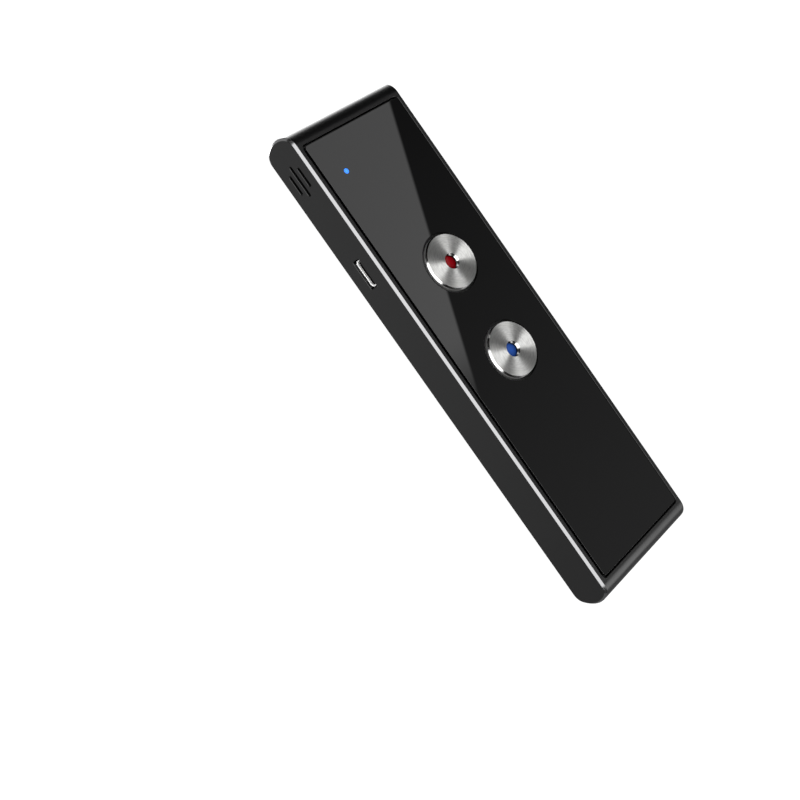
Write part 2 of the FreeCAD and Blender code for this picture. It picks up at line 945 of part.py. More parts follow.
def make_speaker():
    """The speaker that faces the grille, from the dust mesh up to the magnet."""
    save("speaker_mesh", disc(0, grille_y, speaker_radius, back_wall, speaker_mesh_top))
    gasket = ring(speaker_radius, speaker_gasket_width, speaker_mesh_top, speaker_gasket_top)
    save("speaker_gasket", gasket)
    basket = ring(speaker_radius, speaker_frame_wall, speaker_gasket_top, speaker_frame_top)
    bridge = ring(
        speaker_radius,
        speaker_radius - speaker_magnet_radius,
        speaker_frame_top,
        speaker_bridge_top,
    )
    save("speaker_frame", joined([basket, bridge]))
    magnet_top = speaker_frame_top + speaker_magnet_height
    save("speaker_magnet", disc(0, grille_y, speaker_magnet_radius, speaker_frame_top, magnet_top))
    rim_radius = speaker_radius - speaker_frame_wall
    low = speaker_gasket_top + speaker_cone_thickness
    high = low + speaker_cone_depth
    axis_point = Vector(0, grille_y, 0)
    profile = Part.makePolygon(
        [
            Vector(0, grille_y, high),
            Vector(speaker_dome_radius, grille_y, high),
            Vector(rim_radius, grille_y, low),
            Vector(rim_radius, grille_y, low - speaker_cone_thickness),
            Vector(speaker_dome_radius, grille_y, high - speaker_cone_thickness),
            Vector(0, grille_y, high - speaker_cone_thickness),
            Vector(0, grille_y, high),
        ]
    )
    cone = Part.Face(profile).revolve(axis_point, Vector(0, 0, 1), 360)
    save("speaker_cone", cone)


def lead(x, y0, y1, z0, z1):
    """A wire that runs level along Y from y0 and then turns up into the board at y1."""
    sign = math.copysign(1.0, y1 - y0)
    level_end = Vector(x, y1 - sign * lead_bend, z0)
    rise_start = Vector(x, y1, z0 + lead_bend)
    diagonal = lead_bend * (1 - math.sqrt(0.5))
    middle = Vector(x, y1 - sign * diagonal, z0 + diagonal)
    path = Part.Wire(
        [
            Part.LineSegment(Vector(x, y0, z0), level_end).toShape(),
            Part.Arc(level_end, middle, rise_start).toShape(),
            Part.LineSegment(rise_start, Vector(x, y1, z1)).toShape(),
        ]
    )
    section = Part.Wire(Part.makeCircle(lead_radius, Vector(x, y0, z0), Vector(0, 1, 0)))
    return path.makePipeShell([section], True, True)


def make_speaker_leads():
    """Two wires from the speaker's rim to the board."""
    height = speaker_frame_top - lead_radius - running_gap
    start = grille_y - speaker_radius
    wires = []
    for sign in (1, -1):
        x = sign * lead_spacing / 2
        wires.append(lead(x, start, start - 3 * lead_bend, height, board_bottom))
    save("speaker_leads", Part.makeCompound(wires))


def make_microphone(name, side):
    """A round microphone in a rubber boot that seals it to the slots in the wall."""
    outer_x = side * wall_x
    inner_x = side * (wall_x - mic_boot_thickness)
    x_pair = sorted((outer_x, inner_x))
    boot = block(
        x_pair[0],
        x_pair[1],
        mic_y - mic_boot_length / 2,
        mic_y + mic_boot_length / 2,
        side_middle - mic_boot_height / 2,
        side_middle + mic_boot_height / 2,
    )
    boot = upright_rounded(boot, inner_corner_radius)
    port_x = side * (wall_x - mic_port_depth)
    port_pair = sorted((outer_x, port_x))
    capsule_pair = sorted((port_x, side * (wall_x - mic_port_depth - mic_length)))
    tools = [side_slot(port_pair[0], port_pair[1], mic_y, side_middle, mic_slot_length, mic_slot_width)]
    for sign in (1, -1):
        height = side_middle + sign * mic_slot_pitch
        tools.append(side_slot(port_pair[0], port_pair[1], mic_y, height, mic_outer_slot_length, mic_slot_width))
    pocket_pair = sorted((port_x, inner_x))
    tools.append(rod_along_x(pocket_pair[0], pocket_pair[1], mic_y, side_middle, mic_radius + press_gap))
    save("mic_boot_" + name, without(boot, tools))
    capsule = rod_along_x(capsule_pair[0], capsule_pair[1], mic_y, side_middle, mic_radius)
    save("microphone_" + name, capsule)


def make_battery():
    """The pouch cell on its pad, with its protection board, wires and connector."""
    pad_width = battery_width - 2 * battery_pad_inset
    pad_length = battery_length - 2 * battery_pad_inset
    save("battery_pad", centred_block(0, battery_y, pad_width, pad_length, back_wall, battery_bottom))
    cell = centred_block(0, battery_y, battery_width, battery_length, battery_bottom, battery_top)
    long_edges = edges_along(cell, Vector(0, 1, 0))
    save("battery_cell", cell.makeFillet(battery_edge_radius, long_edges))
    middle = (battery_bottom + battery_top) / 2
    strip = block(
        -battery_width / 2 + protection_inset,
        battery_width / 2 - protection_inset,
        battery_top_y,
        battery_top_y + protection_length,
        middle,
        middle + protection_thickness,
    )
    save("battery_protection_board", strip)
    plug = centred_block(
        0,
        connector_y,
        connector_length,
        connector_depth,
        board_bottom - connector_height,
        board_bottom,
    )
    save("battery_connector", plug)
    height = middle + protection_thickness / 2
    wires = []
    for sign in (1, -1):
        x = sign * lead_spacing / 2
        wires.append(
            lead(x, battery_top_y + protection_length, connector_y, height, board_bottom - connector_height)
        )
    save("battery_leads", Part.makeCompound(wires))


def main():
    """Build every node and write it to the parts folder."""
    os.makedirs("parts", exist_ok=True)
    make_housing()
    make_front_panel()
    make_panel_adhesive()
    make_inner_frame()
    make_screws()
    for name, y in (("red", red_button_y), ("blue", blue_button_y)):
        make_button(name, y)
        make_lens(name, y)
        make_front_switch(name, y)
    make_status_light()
    make_power_key()
    make_volume_rocker()
    make_rocker_bracket()
    make_side_switch("power", power_key_y, power_key_travel)
    swing = volume_switch_offset * math.radians(rocker_angle)
    make_side_switch("volume_up", volume_key_y + volume_switch_offset, swing)
    make_side_switch("volume_down", volume_key_y - volume_switch_offset, swing)
    make_key_board()
    make_main_board()
    make_chips()
    make_usb_socket()
    make_speaker()
    make_speaker_leads()
    make_microphone("left", -1)
    make_microphone("right", 1)
    make_battery()


main()
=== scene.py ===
import logging
import math
from dataclasses import dataclass
from enum import Enum

import bmesh
import bpy
from mathutils import Matrix, Vector


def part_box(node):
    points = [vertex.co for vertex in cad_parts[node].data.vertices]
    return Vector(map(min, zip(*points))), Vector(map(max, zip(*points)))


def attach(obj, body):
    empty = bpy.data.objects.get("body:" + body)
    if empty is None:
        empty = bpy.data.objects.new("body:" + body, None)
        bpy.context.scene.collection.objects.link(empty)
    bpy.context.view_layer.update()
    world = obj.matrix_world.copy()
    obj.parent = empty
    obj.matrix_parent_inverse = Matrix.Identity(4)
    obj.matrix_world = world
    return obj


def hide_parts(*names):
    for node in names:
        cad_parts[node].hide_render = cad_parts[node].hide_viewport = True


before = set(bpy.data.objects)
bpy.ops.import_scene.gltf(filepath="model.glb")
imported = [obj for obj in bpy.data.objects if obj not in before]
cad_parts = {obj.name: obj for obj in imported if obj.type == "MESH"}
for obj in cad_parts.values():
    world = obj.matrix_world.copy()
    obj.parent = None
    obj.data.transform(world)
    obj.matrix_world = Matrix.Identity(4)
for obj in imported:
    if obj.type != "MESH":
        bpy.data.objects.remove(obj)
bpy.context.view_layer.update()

MM = 0.001
DEVICE = "device"
LIGHT_NODE = "status_light_pipe"
SWITCHES = ("red", "blue", "power", "volume_up", "volume_down")
LOG = logging.getLogger("translator")

Point = tuple[float, float]
Span = tuple[float, float]
Band = tuple[float, float, float]
Colour = tuple[float, float, float]
Ring = list[Vector]
Mesh = bmesh.types.BMesh
Piece = bpy.types.Object
Material = bpy.types.Material
Node = bpy.types.Node
Socket = bpy.types.NodeSocket
Axes = tuple[Socket, Socket, Socket]

EVEN = Vector((1, 1, 1))
FLAT = Vector((1, 1, 0))
WHITE = (1.0, 1.0, 1.0, 1.0)
MIDDLE = (0.3, 0.7)
FEW_LAYERS = 2.0
SOME_LAYERS = 3.0
MANY_LAYERS = 4.0
SMALL_CORNER_STEPS = 4
CORNER_STEPS = 8
LEAST_RADIUS = 0.0005 * MM
POWER_KEY_LENGTH = 8.0 * MM
VOLUME_KEY_LENGTH = 24.0 * MM
VOLUME_PAD_REACH = 8.0 * MM
SHARP_ANGLE = 28.0
LENS_ANGLE = 30.0


class Side(Enum):
    """Which flat side of the device something is on."""

    LEFT = -1
    RIGHT = 1


class Brush(Enum):
    """The direction in which a metal's fine lines run."""

    ALONG_X = (0.04, 1.0, 1.0)
    ALONG_Y = (1.0, 0.04, 1.0)
    ROUND = (1.0, 1.0, 1.0)


class Graph:
    """Writes the nodes of one material or of the world."""

    def __init__(self, tree: bpy.types.NodeTree) -> None:
        """Start from an empty tree.

        Args:
            tree: the node tree to write.
        """
        self.tree = tree
        tree.nodes.clear()

    def add(self, kind: str, **settings: object) -> Node:
        """Add a node and set its properties.

        Args:
            kind: the node's type name without its ShaderNode prefix.
            settings: properties of the node by name.

        Returns:
            The new node.
        """
        node = self.tree.nodes.new("ShaderNode" + kind)
        for name, value in settings.items():
            setattr(node, name, value)
        return node

    def feed(self, node: Node, **inputs: object) -> Node:
        """Set or link a node's inputs by name, with spaces written as underscores.

        Args:
            node: the node to feed.
            inputs: a socket to link, or a value to set, for each input.

        Returns:
            The same node.
        """
        for name, value in inputs.items():
            self.put(node.inputs[name.replace("_", " ")], value)
        return node

    def fill(self, node: Node, *values: object) -> Node:
        """Set or link a node's inputs in their order.

        Args:
            node: the node to fill.
            values: a socket to link, or a value to set, for each input.

        Returns:
            The same node.
        """
        for socket, value in zip(node.inputs, values):
            self.put(socket, value)
        return node

    def put(self, socket: Socket, value: object) -> None:
        """Set or link one input.

        Args:
            socket: the input.
            value: a socket to link, or a value to set.
        """
        if isinstance(value, Socket):
            self.tree.links.new(value, socket)
        else:
            socket.default_value = value

    def math(self, operation: str, first: object, second: object = 0.0) -> Socket:
        """Join two values with one arithmetic step, named in capitals."""
        return self.fill(self.add("Math", operation=operation), first, second).outputs[0]

    def vector_math(self, operation: str, *values: object) -> Node:
        """Join vectors with one arithmetic step, named in capitals."""
        return self.fill(self.add("VectorMath", operation=operation), *values)

    def dot(self, vector: Socket, direction: Vector) -> Socket:
        """How far a vector reaches along a fixed direction."""
        return self.vector_math("DOT_PRODUCT", vector, direction).outputs["Value"]

    def spot(self) -> Socket:
        """The surface's own position."""
        return self.add("TexCoord").outputs["Object"]

    def axes(self, vector: Socket) -> Axes:
        """X, Y and Z of a position or direction."""
        return tuple(self.feed(self.add("SeparateXYZ"), Vector=vector).outputs)

    def ramp(
        self,
        value: object,
        low: float,
        high: float,
        first: float = 0.0,
        last: float = 1.0,
    ) -> Socket:
        """Carry a value smoothly from one range to another.

        Args:
            value: the socket of the value.
            low: where the ramp starts.
            high: where the ramp ends.
            first: the result at the start.
            last: the result at the end.

        Returns:
            The result's socket.
        """
        node = self.add("MapRange", interpolation_type="SMOOTHSTEP")
        self.feed(node, Value=value, From_Min=low, From_Max=high, To_Min=first, To_Max=last)
        return node.outputs["Result"]

    def fall(self, value: Socket, low: float, high: float) -> Socket:
        """One up to the low limit, and smoothly down to zero at the high one."""
        return self.ramp(value, low, high, 1.0, 0.0)

    def band(self, value: Socket, low: float, high: float, soft: float) -> Socket:
        """Whether a value lies in a range, with soft limits.

        Args:
            value: the socket of the value.
            low: the lower limit.
            high: the upper limit.
            soft: how wide each limit's ramp is.

        Returns:
            The socket of a factor from 0 to 1.
        """
        rise = self.ramp(value, low - soft / 2, low + soft / 2)
        fall = self.fall(value, high - soft / 2, high + soft / 2)
        return self.math("MULTIPLY", rise, fall)

    def product(self, *values: object) -> Socket:
        """Multiply several values.

        Args:
            values: sockets or numbers.

        Returns:
            The result's socket.
        """
        result = values[0]
        for value in values[1:]:
            result = self.math("MULTIPLY", result, value)
        return result

    def mixed(self, first: Socket, second: Socket, share: float) -> Socket:
        """Add two values, of which the first has the given share of the sum."""
        rest = self.math("MULTIPLY", second, 1 - share)
        return self.math("ADD", self.math("MULTIPLY", first, share), rest)

    def place(self, scale: Vector = EVEN) -> Socket:
        """The surface's own position, stretched along each axis.

        Args:
            scale: the stretch along X, Y and Z.

        Returns:
            The socket of the stretched position.
        """
        node = self.add("Mapping")
        self.feed(node, Vector=self.spot(), Scale=scale)
        return node.outputs["Vector"]

    def noise(self, vector: Socket, scale: float, detail: float = SOME_LAYERS) -> Socket:
        """A soft random value over the surface.

        Args:
            vector: where the value is read.
            scale: how many blotches lie in a metre.
            detail: how many finer layers are added.

        Returns:
            The value's socket.
        """
        node = self.add("TexNoise")
        self.feed(node, Vector=vector, Scale=scale, Detail=detail)
        return node.outputs["Fac"]

    def blend(self, factor: Socket, first: Colour, second: Colour) -> Socket:
        """A colour between two, by a factor.

        Args:
            factor: 0 gives the first colour and 1 the second.
            first: the first colour.
            second: the second colour.

        Returns:
            The colour's socket.
        """
        node = self.add("Mix", data_type="RGBA")
        self.feed(node, Factor=factor, A=(*first, 1.0), B=(*second, 1.0))
        return node.outputs["Result"]

    def tone(self, factor: Socket, colour: Colour, first: float, last: float) -> Socket:
        """A colour that a factor makes lighter or darker.

        Args:
            factor: goes from 0 to 1.
            colour: the colour.
            first: the colour's share where the factor is 0.
            last: the colour's share where the factor is 1.

        Returns:
            The colour's socket.
        """
        return self.blend(factor, shade(colour, first), shade(colour, last))

    def bump(self, height: Socket, depth: float) -> Socket:
        """A normal that follows a height.

        Args:
            height: the height's socket, from 0 to 1.
            depth: the real depth between 0 and 1, in metres.

        Returns:
            The normal's socket.
        """
        node = self.add("Bump")
        self.feed(node, Strength=1.0, Distance=depth, Height=height)
        return node.outputs["Normal"]


def shade(colour: Colour, factor: float) -> Colour:
    """A colour made lighter or darker by a factor."""
    return tuple(min(1.0, part * factor) for part in colour)


def around(value: float, spread: float) -> Span:
    """A value lowered and raised by a share of itself, and never raised over one."""
    return (value * (1 - spread), min(1.0, value * (1 + spread)))


@dataclass(frozen=True)
class Finish:
    """A named look, whose kinds differ in how they feed the surface shader."""

    name: str

    def build(self) -> Material:
        """Make the material.

        Returns:
            The finished material.
        """
        material = bpy.data.materials.new(self.name)
        material.use_nodes = True
        graph = Graph(material.node_tree)
        surface = graph.add("BsdfPrincipled")
        graph.feed(graph.add("OutputMaterial"), Surface=surface.outputs["BSDF"])
        self.paint(graph, surface)
        return material

    def paint(self, graph: Graph, surface: Node) -> None:
        """Feed the surface shader, which each kind of finish does in its own way."""
        raise NotImplementedError


@dataclass(frozen=True)
class GrainFinish(Finish):
    """A moulded, painted or blasted surface with a fine grain."""

    colour: Colour
    roughness: float = 0.5
    spread: float = 0.12
    grain: float = 2600.0
    depth: float = 0.004 * MM
    metallic: float = 0.0
    index: float = 1.45
    sheen: float = 0.0
    clouds: float = 90.0
    cloud_share: float = 0.6
    rough_spread: float = 0.1

    def paint(self, graph: Graph, surface: Node) -> None:
        """Feed the surface shader.

        Args:
            graph: the material's graph.
            surface: its surface shader.
        """
        place = graph.place()
        cloud = graph.noise(place, self.clouds, MANY_LAYERS)
        grain = graph.noise(place, self.grain, FEW_LAYERS)
        blotch = graph.mixed(cloud, grain, self.cloud_share)
        colour = graph.tone(blotch, self.colour, 1 - self.spread, 1 + self.spread)
        rough = graph.ramp(blotch, *MIDDLE, *around(self.roughness, self.rough_spread))
        normal = graph.bump(grain, self.depth)
        graph.feed(surface, Base_Color=colour, Roughness=rough, Normal=normal)
        graph.feed(surface, Metallic=self.metallic, IOR=self.index, Sheen_Weight=self.sheen)


@dataclass(frozen=True)
class MetalFinish(Finish):
    """Bare metal with fine lines in one direction."""

    colour: Colour = (0.88, 0.88, 0.89)
    roughness: float = 0.18
    lines: float = 9000.0
    depth: float = 0.0008 * MM
    brush: Brush = Brush.ROUND
    stretch: float = 0.0
    tarnish: float = 160.0
    darkest: float = 0.94
    lightest: float = 1.03
    rough_spread: float = 0.15

    def paint(self, graph: Graph, surface: Node) -> None:
        """Feed the surface shader.

        Args:
            graph: the material's graph.
            surface: its surface shader.
        """
        lines = graph.noise(graph.place(Vector(self.brush.value)), self.lines, FEW_LAYERS)
        tarnish = graph.noise(graph.place(), self.tarnish, MANY_LAYERS)
        colour = graph.tone(tarnish, self.colour, self.darkest, self.lightest)
        rough = graph.ramp(tarnish, *MIDDLE, *around(self.roughness, self.rough_spread))
        graph.feed(surface, Base_Color=colour, Roughness=rough, Normal=graph.bump(lines, self.depth))
        graph.feed(surface, Metallic=1.0, Anisotropic=self.stretch)


@dataclass(frozen=True)
class SpunFinish(Finish):
    """Metal turned on a lathe: fine circles round an upright axis."""

    axis_y: float
    colour: Colour = (0.70, 0.70, 0.685)
    roughness: float = 0.42
    stretch: float = 1.0
    quarter_turn: float = 0.25
    pitch: float = 0.11 * MM
    depth: float = 0.0009 * MM
    arc: float = 0.9 * MM
    arcs: float = 3800.0
    wobble: float = 1500.0
    wobble_turns: float = 2.5
    darkest: float = 0.84
    lightest: float = 1.1
    rough_range: Span = (0.25, 0.75)
    rough_spread: float = 0.15

    def paint(self, graph: Graph, surface: Node) -> None:
        """Feed the surface shader.

        Args:
            graph: the material's graph.
            surface: its surface shader.
        """
        x, y, _ = graph.axes(graph.spot())
        across = graph.math("SUBTRACT", y, self.axis_y)
        squares = [graph.math("POWER", part, 2.0) for part in (x, across)]
        radius = graph.math("SQRT", graph.math("ADD", *squares))
        turns = graph.math("MULTIPLY", radius, 2 * math.pi / self.pitch)
        wobble = graph.math("MULTIPLY", graph.noise(graph.place(), self.wobble), self.wobble_turns)
        wave = graph.math("SINE", graph.math("ADD", turns, wobble))
        height = graph.ramp(wave, -1.0, 1.0)
        vector = graph.add("CombineXYZ")
        cosine = graph.math("MULTIPLY", graph.math("DIVIDE", x, radius), self.arc)
        sine = graph.math("MULTIPLY", graph.math("DIVIDE", across, radius), self.arc)
        graph.feed(vector, X=radius, Y=cosine, Z=sine)
        tone = graph.noise(vector.outputs["Vector"], self.arcs)
        colour = graph.tone(graph.ramp(tone, *MIDDLE), self.colour, self.darkest, self.lightest)
        rough = graph.ramp(tone, *self.rough_range, *around(self.roughness, self.rough_spread))
        tangent = graph.add("Tangent", direction_type="RADIAL", axis="Z")
        graph.feed(surface, Base_Color=colour, Roughness=rough, Normal=graph.bump(height, self.depth))
        graph.feed(surface, Metallic=1.0, Anisotropic=self.stretch, Tangent=tangent.outputs["Tangent"])
        graph.feed(surface, Anisotropic_Rotation=self.quarter_turn)


@dataclass(frozen=True)
class GlossFinish(Finish):
    """A hard glossy sheet with a very slight waviness and a few faint wipe marks."""

    colour: Colour
    roughness: float = 0.005
    index: float = 1.6
    wave_depth: float = 0.00005 * MM
    waves: float = 60.0
    wave_layers: float = 1.0
    dust: float = 240.0
    dust_layers: float = 6.0
    dust_range: Span = (0.35, 0.75)
    darkest: float = 0.8
    lightest: float = 1.25
    clearest: float = 0.7
    dullest: float = 1.6

    def paint(self, graph: Graph, surface: Node) -> None:
        """Feed the surface shader.

        Args:
            graph: the material's graph.
            surface: its surface shader.
        """
        place = graph.place()
        dust = graph.noise(place, self.dust, self.dust_layers)
        colour = graph.tone(dust, self.colour, self.darkest, self.lightest)
        limits = (self.roughness * self.clearest, self.roughness * self.dullest)
        rough = graph.ramp(dust, *self.dust_range, *limits)
        normal = graph.bump(graph.noise(place, self.waves, self.wave_layers), self.wave_depth)
        graph.feed(surface, Base_Color=colour, Roughness=rough, Normal=normal, IOR=self.index)


@dataclass(frozen=True)
class LensFinish(Finish):
    """Clear tinted plastic with painted light and shade, a little lighter at its centre and darker towards
    its rim, that may glow.
    """

    colour: Colour
    centre: Point
    radius: float
    glow: float = 0.0
    roughness: float = 0.09
    index: float = 1.25
    specks: float = 1800.0
    depth: float = 0.001 * MM
    rim_shade_share: float = 0.8
    lightest: float = 1.1
    darkest: float = 0.75

    def paint(self, graph: Graph, surface: Node) -> None:
        """Feed the surface shader.

        Args:
            graph: the material's graph.
            surface: its surface shader.
        """
        offset = graph.vector_math("SUBTRACT", graph.spot(), (*self.centre, 0.0))
        flat = graph.vector_math("MULTIPLY", offset.outputs["Vector"], FLAT)
        length = graph.vector_math("LENGTH", flat.outputs["Vector"])
        # Painted light and shade: the tint runs from lighter at the centre to darker at the rim, mixed with
        # random specks.
        painted_rim_shade = graph.ramp(length.outputs["Value"], 0.0, self.radius)
        speck = graph.noise(graph.place(), self.specks)
        mixed = graph.mixed(painted_rim_shade, speck, self.rim_shade_share)
        colour = graph.tone(mixed, self.colour, self.lightest, self.darkest)
        graph.feed(surface, Base_Color=colour, Normal=graph.bump(speck, self.depth))
        graph.feed(surface, Roughness=self.roughness, IOR=self.index)
        if self.glow > 0:
            graph.feed(surface, Emission_Color=colour, Emission_Strength=self.glow)


@dataclass(frozen=True)
class BoardFinish(Finish):
    """Solder mask over copper: fine straight tracks and small round pads."""

    mask: Colour = (0.012, 0.10, 0.045)
    track: Colour = (0.03, 0.19, 0.08)
    pad: Colour = (0.75, 0.62, 0.32)
    tracks: float = 520.0
    track_gap: float = 0.06
    track_length: float = 2.3
    track_pitch: float = 0.35
    track_shift: float = 0.37
    pads: float = 420.0
    pad_scatter: float = 0.75
    pad_edge: Span = (0.10, 0.14)
    depth: float = 0.02 * MM
    mask_roughness: float = 0.34
    pad_roughness: float = 0.22

    def paint(self, graph: Graph, surface: Node) -> None:
        """Feed the surface shader.

        Args:
            graph: the material's graph.
            surface: its surface shader.
        """
        place = graph.place()
        brick = graph.add("TexBrick", offset=self.track_shift)
        graph.feed(brick, Vector=place, Scale=self.tracks, Mortar_Size=self.track_gap)
        graph.feed(brick, Brick_Width=self.track_length, Row_Height=self.track_pitch)
        tracks = graph.blend(brick.outputs["Fac"], self.mask, self.track)
        dots = graph.add("TexVoronoi", feature="F1")
        graph.feed(dots, Vector=place, Scale=self.pads, Randomness=self.pad_scatter)
        spots = graph.fall(dots.outputs["Distance"], *self.pad_edge)
        mix = graph.feed(graph.add("Mix", data_type="RGBA"), Factor=spots, A=tracks, B=(*self.pad, 1.0))
        height = graph.math("MAXIMUM", brick.outputs["Fac"], spots)
        rough = graph.ramp(spots, 0.0, 1.0, self.mask_roughness, self.pad_roughness)
        graph.feed(surface, Base_Color=mix.outputs["Result"], Normal=graph.bump(height, self.depth))
        graph.feed(surface, Metallic=spots, Roughness=rough)


@dataclass(frozen=True)
class WeaveFinish(Finish):
    """Fine woven cloth, with painted shade where the weave dips and a painted highlight on its raised
    threads.
    """

    colour: Colour
    pitch: float = 0.16 * MM
    depth: float = 0.05 * MM
    roughness: float = 0.8
    darkest: float = 0.35
    lightest: float = 1.5

    def paint(self, graph: Graph, surface: Node) -> None:
        """Feed the surface shader.

        Args:
            graph: the material's graph.
            surface: its surface shader.
        """
        x, y, _ = graph.axes(graph.spot())
        turn = 2 * math.pi / self.pitch
        threads = [graph.math("SINE", graph.math("MULTIPLY", part, turn)) for part in (x, y)]
        height = graph.ramp(graph.product(*threads), -1.0, 1.0)
        # Painted shade and highlight: the colour follows the weave's height, darker in its dips and lighter
        # on its raised threads.
        colour = graph.tone(height, self.colour, self.darkest, self.lightest)
        graph.feed(surface, Base_Color=colour, Roughness=self.roughness)
        graph.feed(surface, Normal=graph.bump(height, self.depth))


@dataclass(frozen=True)
class FoilFinish(Finish):
    """Laminated foil with shallow creases."""

    colour: Colour = (0.72, 0.72, 0.73)
    creases: float = 150.0
    crease_width: float = 0.2
    depth: float = 0.03 * MM
    clouds: float = 120.0
    darkest: float = 0.85
    lightest: float = 1.05
    roughnesses: Span = (0.25, 0.4)

    def paint(self, graph: Graph, surface: Node) -> None:
        """Feed the surface shader.

        Args:
            graph: the material's graph.
            surface: its surface shader.
        """
        place = graph.place()
        creases = graph.add("TexVoronoi", feature="DISTANCE_TO_EDGE")
        graph.feed(creases, Vector=place, Scale=self.creases)
        height = graph.ramp(creases.outputs["Distance"], 0.0, self.crease_width)
        cloud = graph.noise(place, self.clouds, MANY_LAYERS)
        colour = graph.tone(cloud, self.colour, self.darkest, self.lightest)
        graph.feed(surface, Base_Color=colour, Metallic=1.0, Normal=graph.bump(height, self.depth))
        graph.feed(surface, Roughness=graph.ramp(cloud, *MIDDLE, *self.roughnesses))


ANODISED = GrainFinish(
    "dark_anodised", (0.002, 0.002, 0.0021), roughness=0.31, spread=0.10, grain=3200.0,
    depth=0.0015 * MM, index=1.56,
)
POLISHED = MetalFinish(
    "polished_bevel", (0.34, 0.34, 0.345), roughness=0.22, lines=7000.0, depth=0.0004 * MM,
    brush=Brush.ALONG_Y,
)
SATIN = GrainFinish(
    "satin_metal", (0.9, 0.9, 0.89), roughness=0.34, spread=0.04, grain=5000.0,
    depth=0.0008 * MM, metallic=0.88,
)
GLOSS_BLACK = GlossFinish("gloss_black", (0.0008, 0.0008, 0.0009))
KEY_BLACK = GrainFinish(
    "key_black", (0.008, 0.008, 0.0085), roughness=0.42, spread=0.12, grain=3600.0,
    depth=0.002 * MM,
)
MOULDED = GrainFinish(
    "moulded_black", (0.004, 0.004, 0.004), roughness=0.6, spread=0.15, grain=1800.0,
    depth=0.006 * MM,
)
SWITCH_BLACK = GrainFinish("switch_black", (0.02, 0.02, 0.021), roughness=0.5)
NATURAL = GrainFinish("natural_plastic", (0.68, 0.66, 0.6), roughness=0.4, spread=0.06)
RESIN = GrainFinish("lamp_resin", (0.82, 0.80, 0.62), roughness=0.2, spread=0.05, grain=900.0)
CHIP = GrainFinish(
    "chip_black", (0.022, 0.022, 0.024), roughness=0.55, spread=0.18, grain=4200.0,
    depth=0.004 * MM,
)
CERAMIC = GrainFinish(
    "ceramic_white", (0.72, 0.72, 0.69), roughness=0.35, spread=0.05, grain=1200.0,
)
RUBBER = GrainFinish(
    "soft_rubber", (0.006, 0.006, 0.006), roughness=0.75, spread=0.2, grain=1500.0,
    depth=0.008 * MM,
)
FOAM = GrainFinish(
    "closed_foam", (0.02, 0.02, 0.021), roughness=0.9, spread=0.3, grain=1100.0,
    depth=0.04 * MM, sheen=0.2,
)
TAPE = GrainFinish("black_tape", (0.006, 0.006, 0.006), roughness=0.7, spread=0.15, grain=2400.0)
CONE = GrainFinish("cone_film", (0.03, 0.03, 0.035), roughness=0.35, spread=0.12, grain=700.0)
WIRE = GrainFinish("wire_red", (0.38, 0.015, 0.012), roughness=0.42, spread=0.08, grain=900.0)
POLISHED_EDGE = MetalFinish(
    "polished_edge", (0.56, 0.56, 0.555), roughness=0.16, lines=7000.0, depth=0.0004 * MM,
)
PLATED = GrainFinish(
    "plated_sleeve", (0.93, 0.93, 0.92), roughness=0.34, spread=0.04, grain=5000.0,
    depth=0.0008 * MM, metallic=0.15,
)
STEEL = MetalFinish("plain_steel", (0.62, 0.61, 0.60), roughness=0.3)
TINNED = MetalFinish(
    "tinned_steel", (0.80, 0.80, 0.80), roughness=0.22, lines=6000.0, depth=0.0006 * MM,
    brush=Brush.ALONG_X,
)
NICKEL = MetalFinish("nickel_plate", (0.70, 0.68, 0.64), roughness=0.16)
GOLD = MetalFinish("gold_plate", (0.95, 0.68, 0.28), roughness=0.2)
BOARD = BoardFinish("board_green")
MESH = WeaveFinish("acoustic_cloth", (0.02, 0.02, 0.02))
FOIL = FoilFinish("cell_foil")
RED_TINT = (0.275, 0.001, 0.005)
BLUE_TINT = (0.0245, 0.092, 0.405)


class Paint:
    """Keeps each finish's material, so that it is made only once."""

    made: dict[str, Material] = {}

    @classmethod
    def get(cls, finish: Finish) -> Material:
        """The material of a finish.

        Args:
            finish: a finish of any kind.

        Returns:
            The finish's one material.
        """
        if finish.name not in cls.made:
            cls.made[finish.name] = finish.build()
        return cls.made[finish.name]


def new_piece(name: str, bm: Mesh, *finishes: Finish) -> Piece:
    """Turn a finished mesh into a linked object.

    Args:
        name: the object's name.
        bm: the mesh, which is freed.
        finishes: its finishes, in the order of its material numbers.

    Returns:
        The new object.
    """
    bmesh.ops.recalc_face_normals(bm, faces=bm.faces)
    mesh = bpy.data.meshes.new(name)
    for finish in finishes:
        mesh.materials.append(Paint.get(finish))
    bm.to_mesh(mesh)
    bm.free()
    piece = bpy.data.objects.new(name, mesh)
    bpy.context.scene.collection.objects.link(piece)
    return piece


def loft(rings: list[Ring], closed: bool = False, bands: list[int] | None = None) -> Mesh:
    """Join rings of equal length with strips of faces.

    Args:
        rings: the rings in order.
        closed: whether the last ring joins the first, and otherwise both ends are capped.
        bands: the material number of each strip, or the first material everywhere.

    Returns:
        The mesh.
    """
    bm = bmesh.new()
    made = [[bm.verts.new(point) for point in ring] for ring in rings]
    pairs = list(zip(made, made[1:]))
    if closed:
        pairs.append((made[-1], made[0]))
    for index, (first, second) in enumerate(pairs):
        count = len(first)
        for corner in range(count):
            after = (corner + 1) % count
            face = bm.faces.new((first[corner], first[after], second[after], second[corner]))
            face.material_index = bands[index] if bands else 0
    if not closed:
        bm.faces.new(list(reversed(made[0])))
        bm.faces.new(made[-1])
    return bm


def circle(centre: Point, radius: float, height: float, steps: int) -> Ring:
    """A ring of points round an upright axis.

    Args:
        centre: x and y of the axis.
        radius: the ring's radius.
        height: the ring's height.
        steps: how many points it has.

    Returns:
        The points in order.
    """
    ring = []
    for step in range(steps):
        angle = 2 * math.pi * step / steps
        x = centre[0] + radius * math.cos(angle)
        y = centre[1] + radius * math.sin(angle)
        ring.append(Vector((x, y, height)))
    return ring


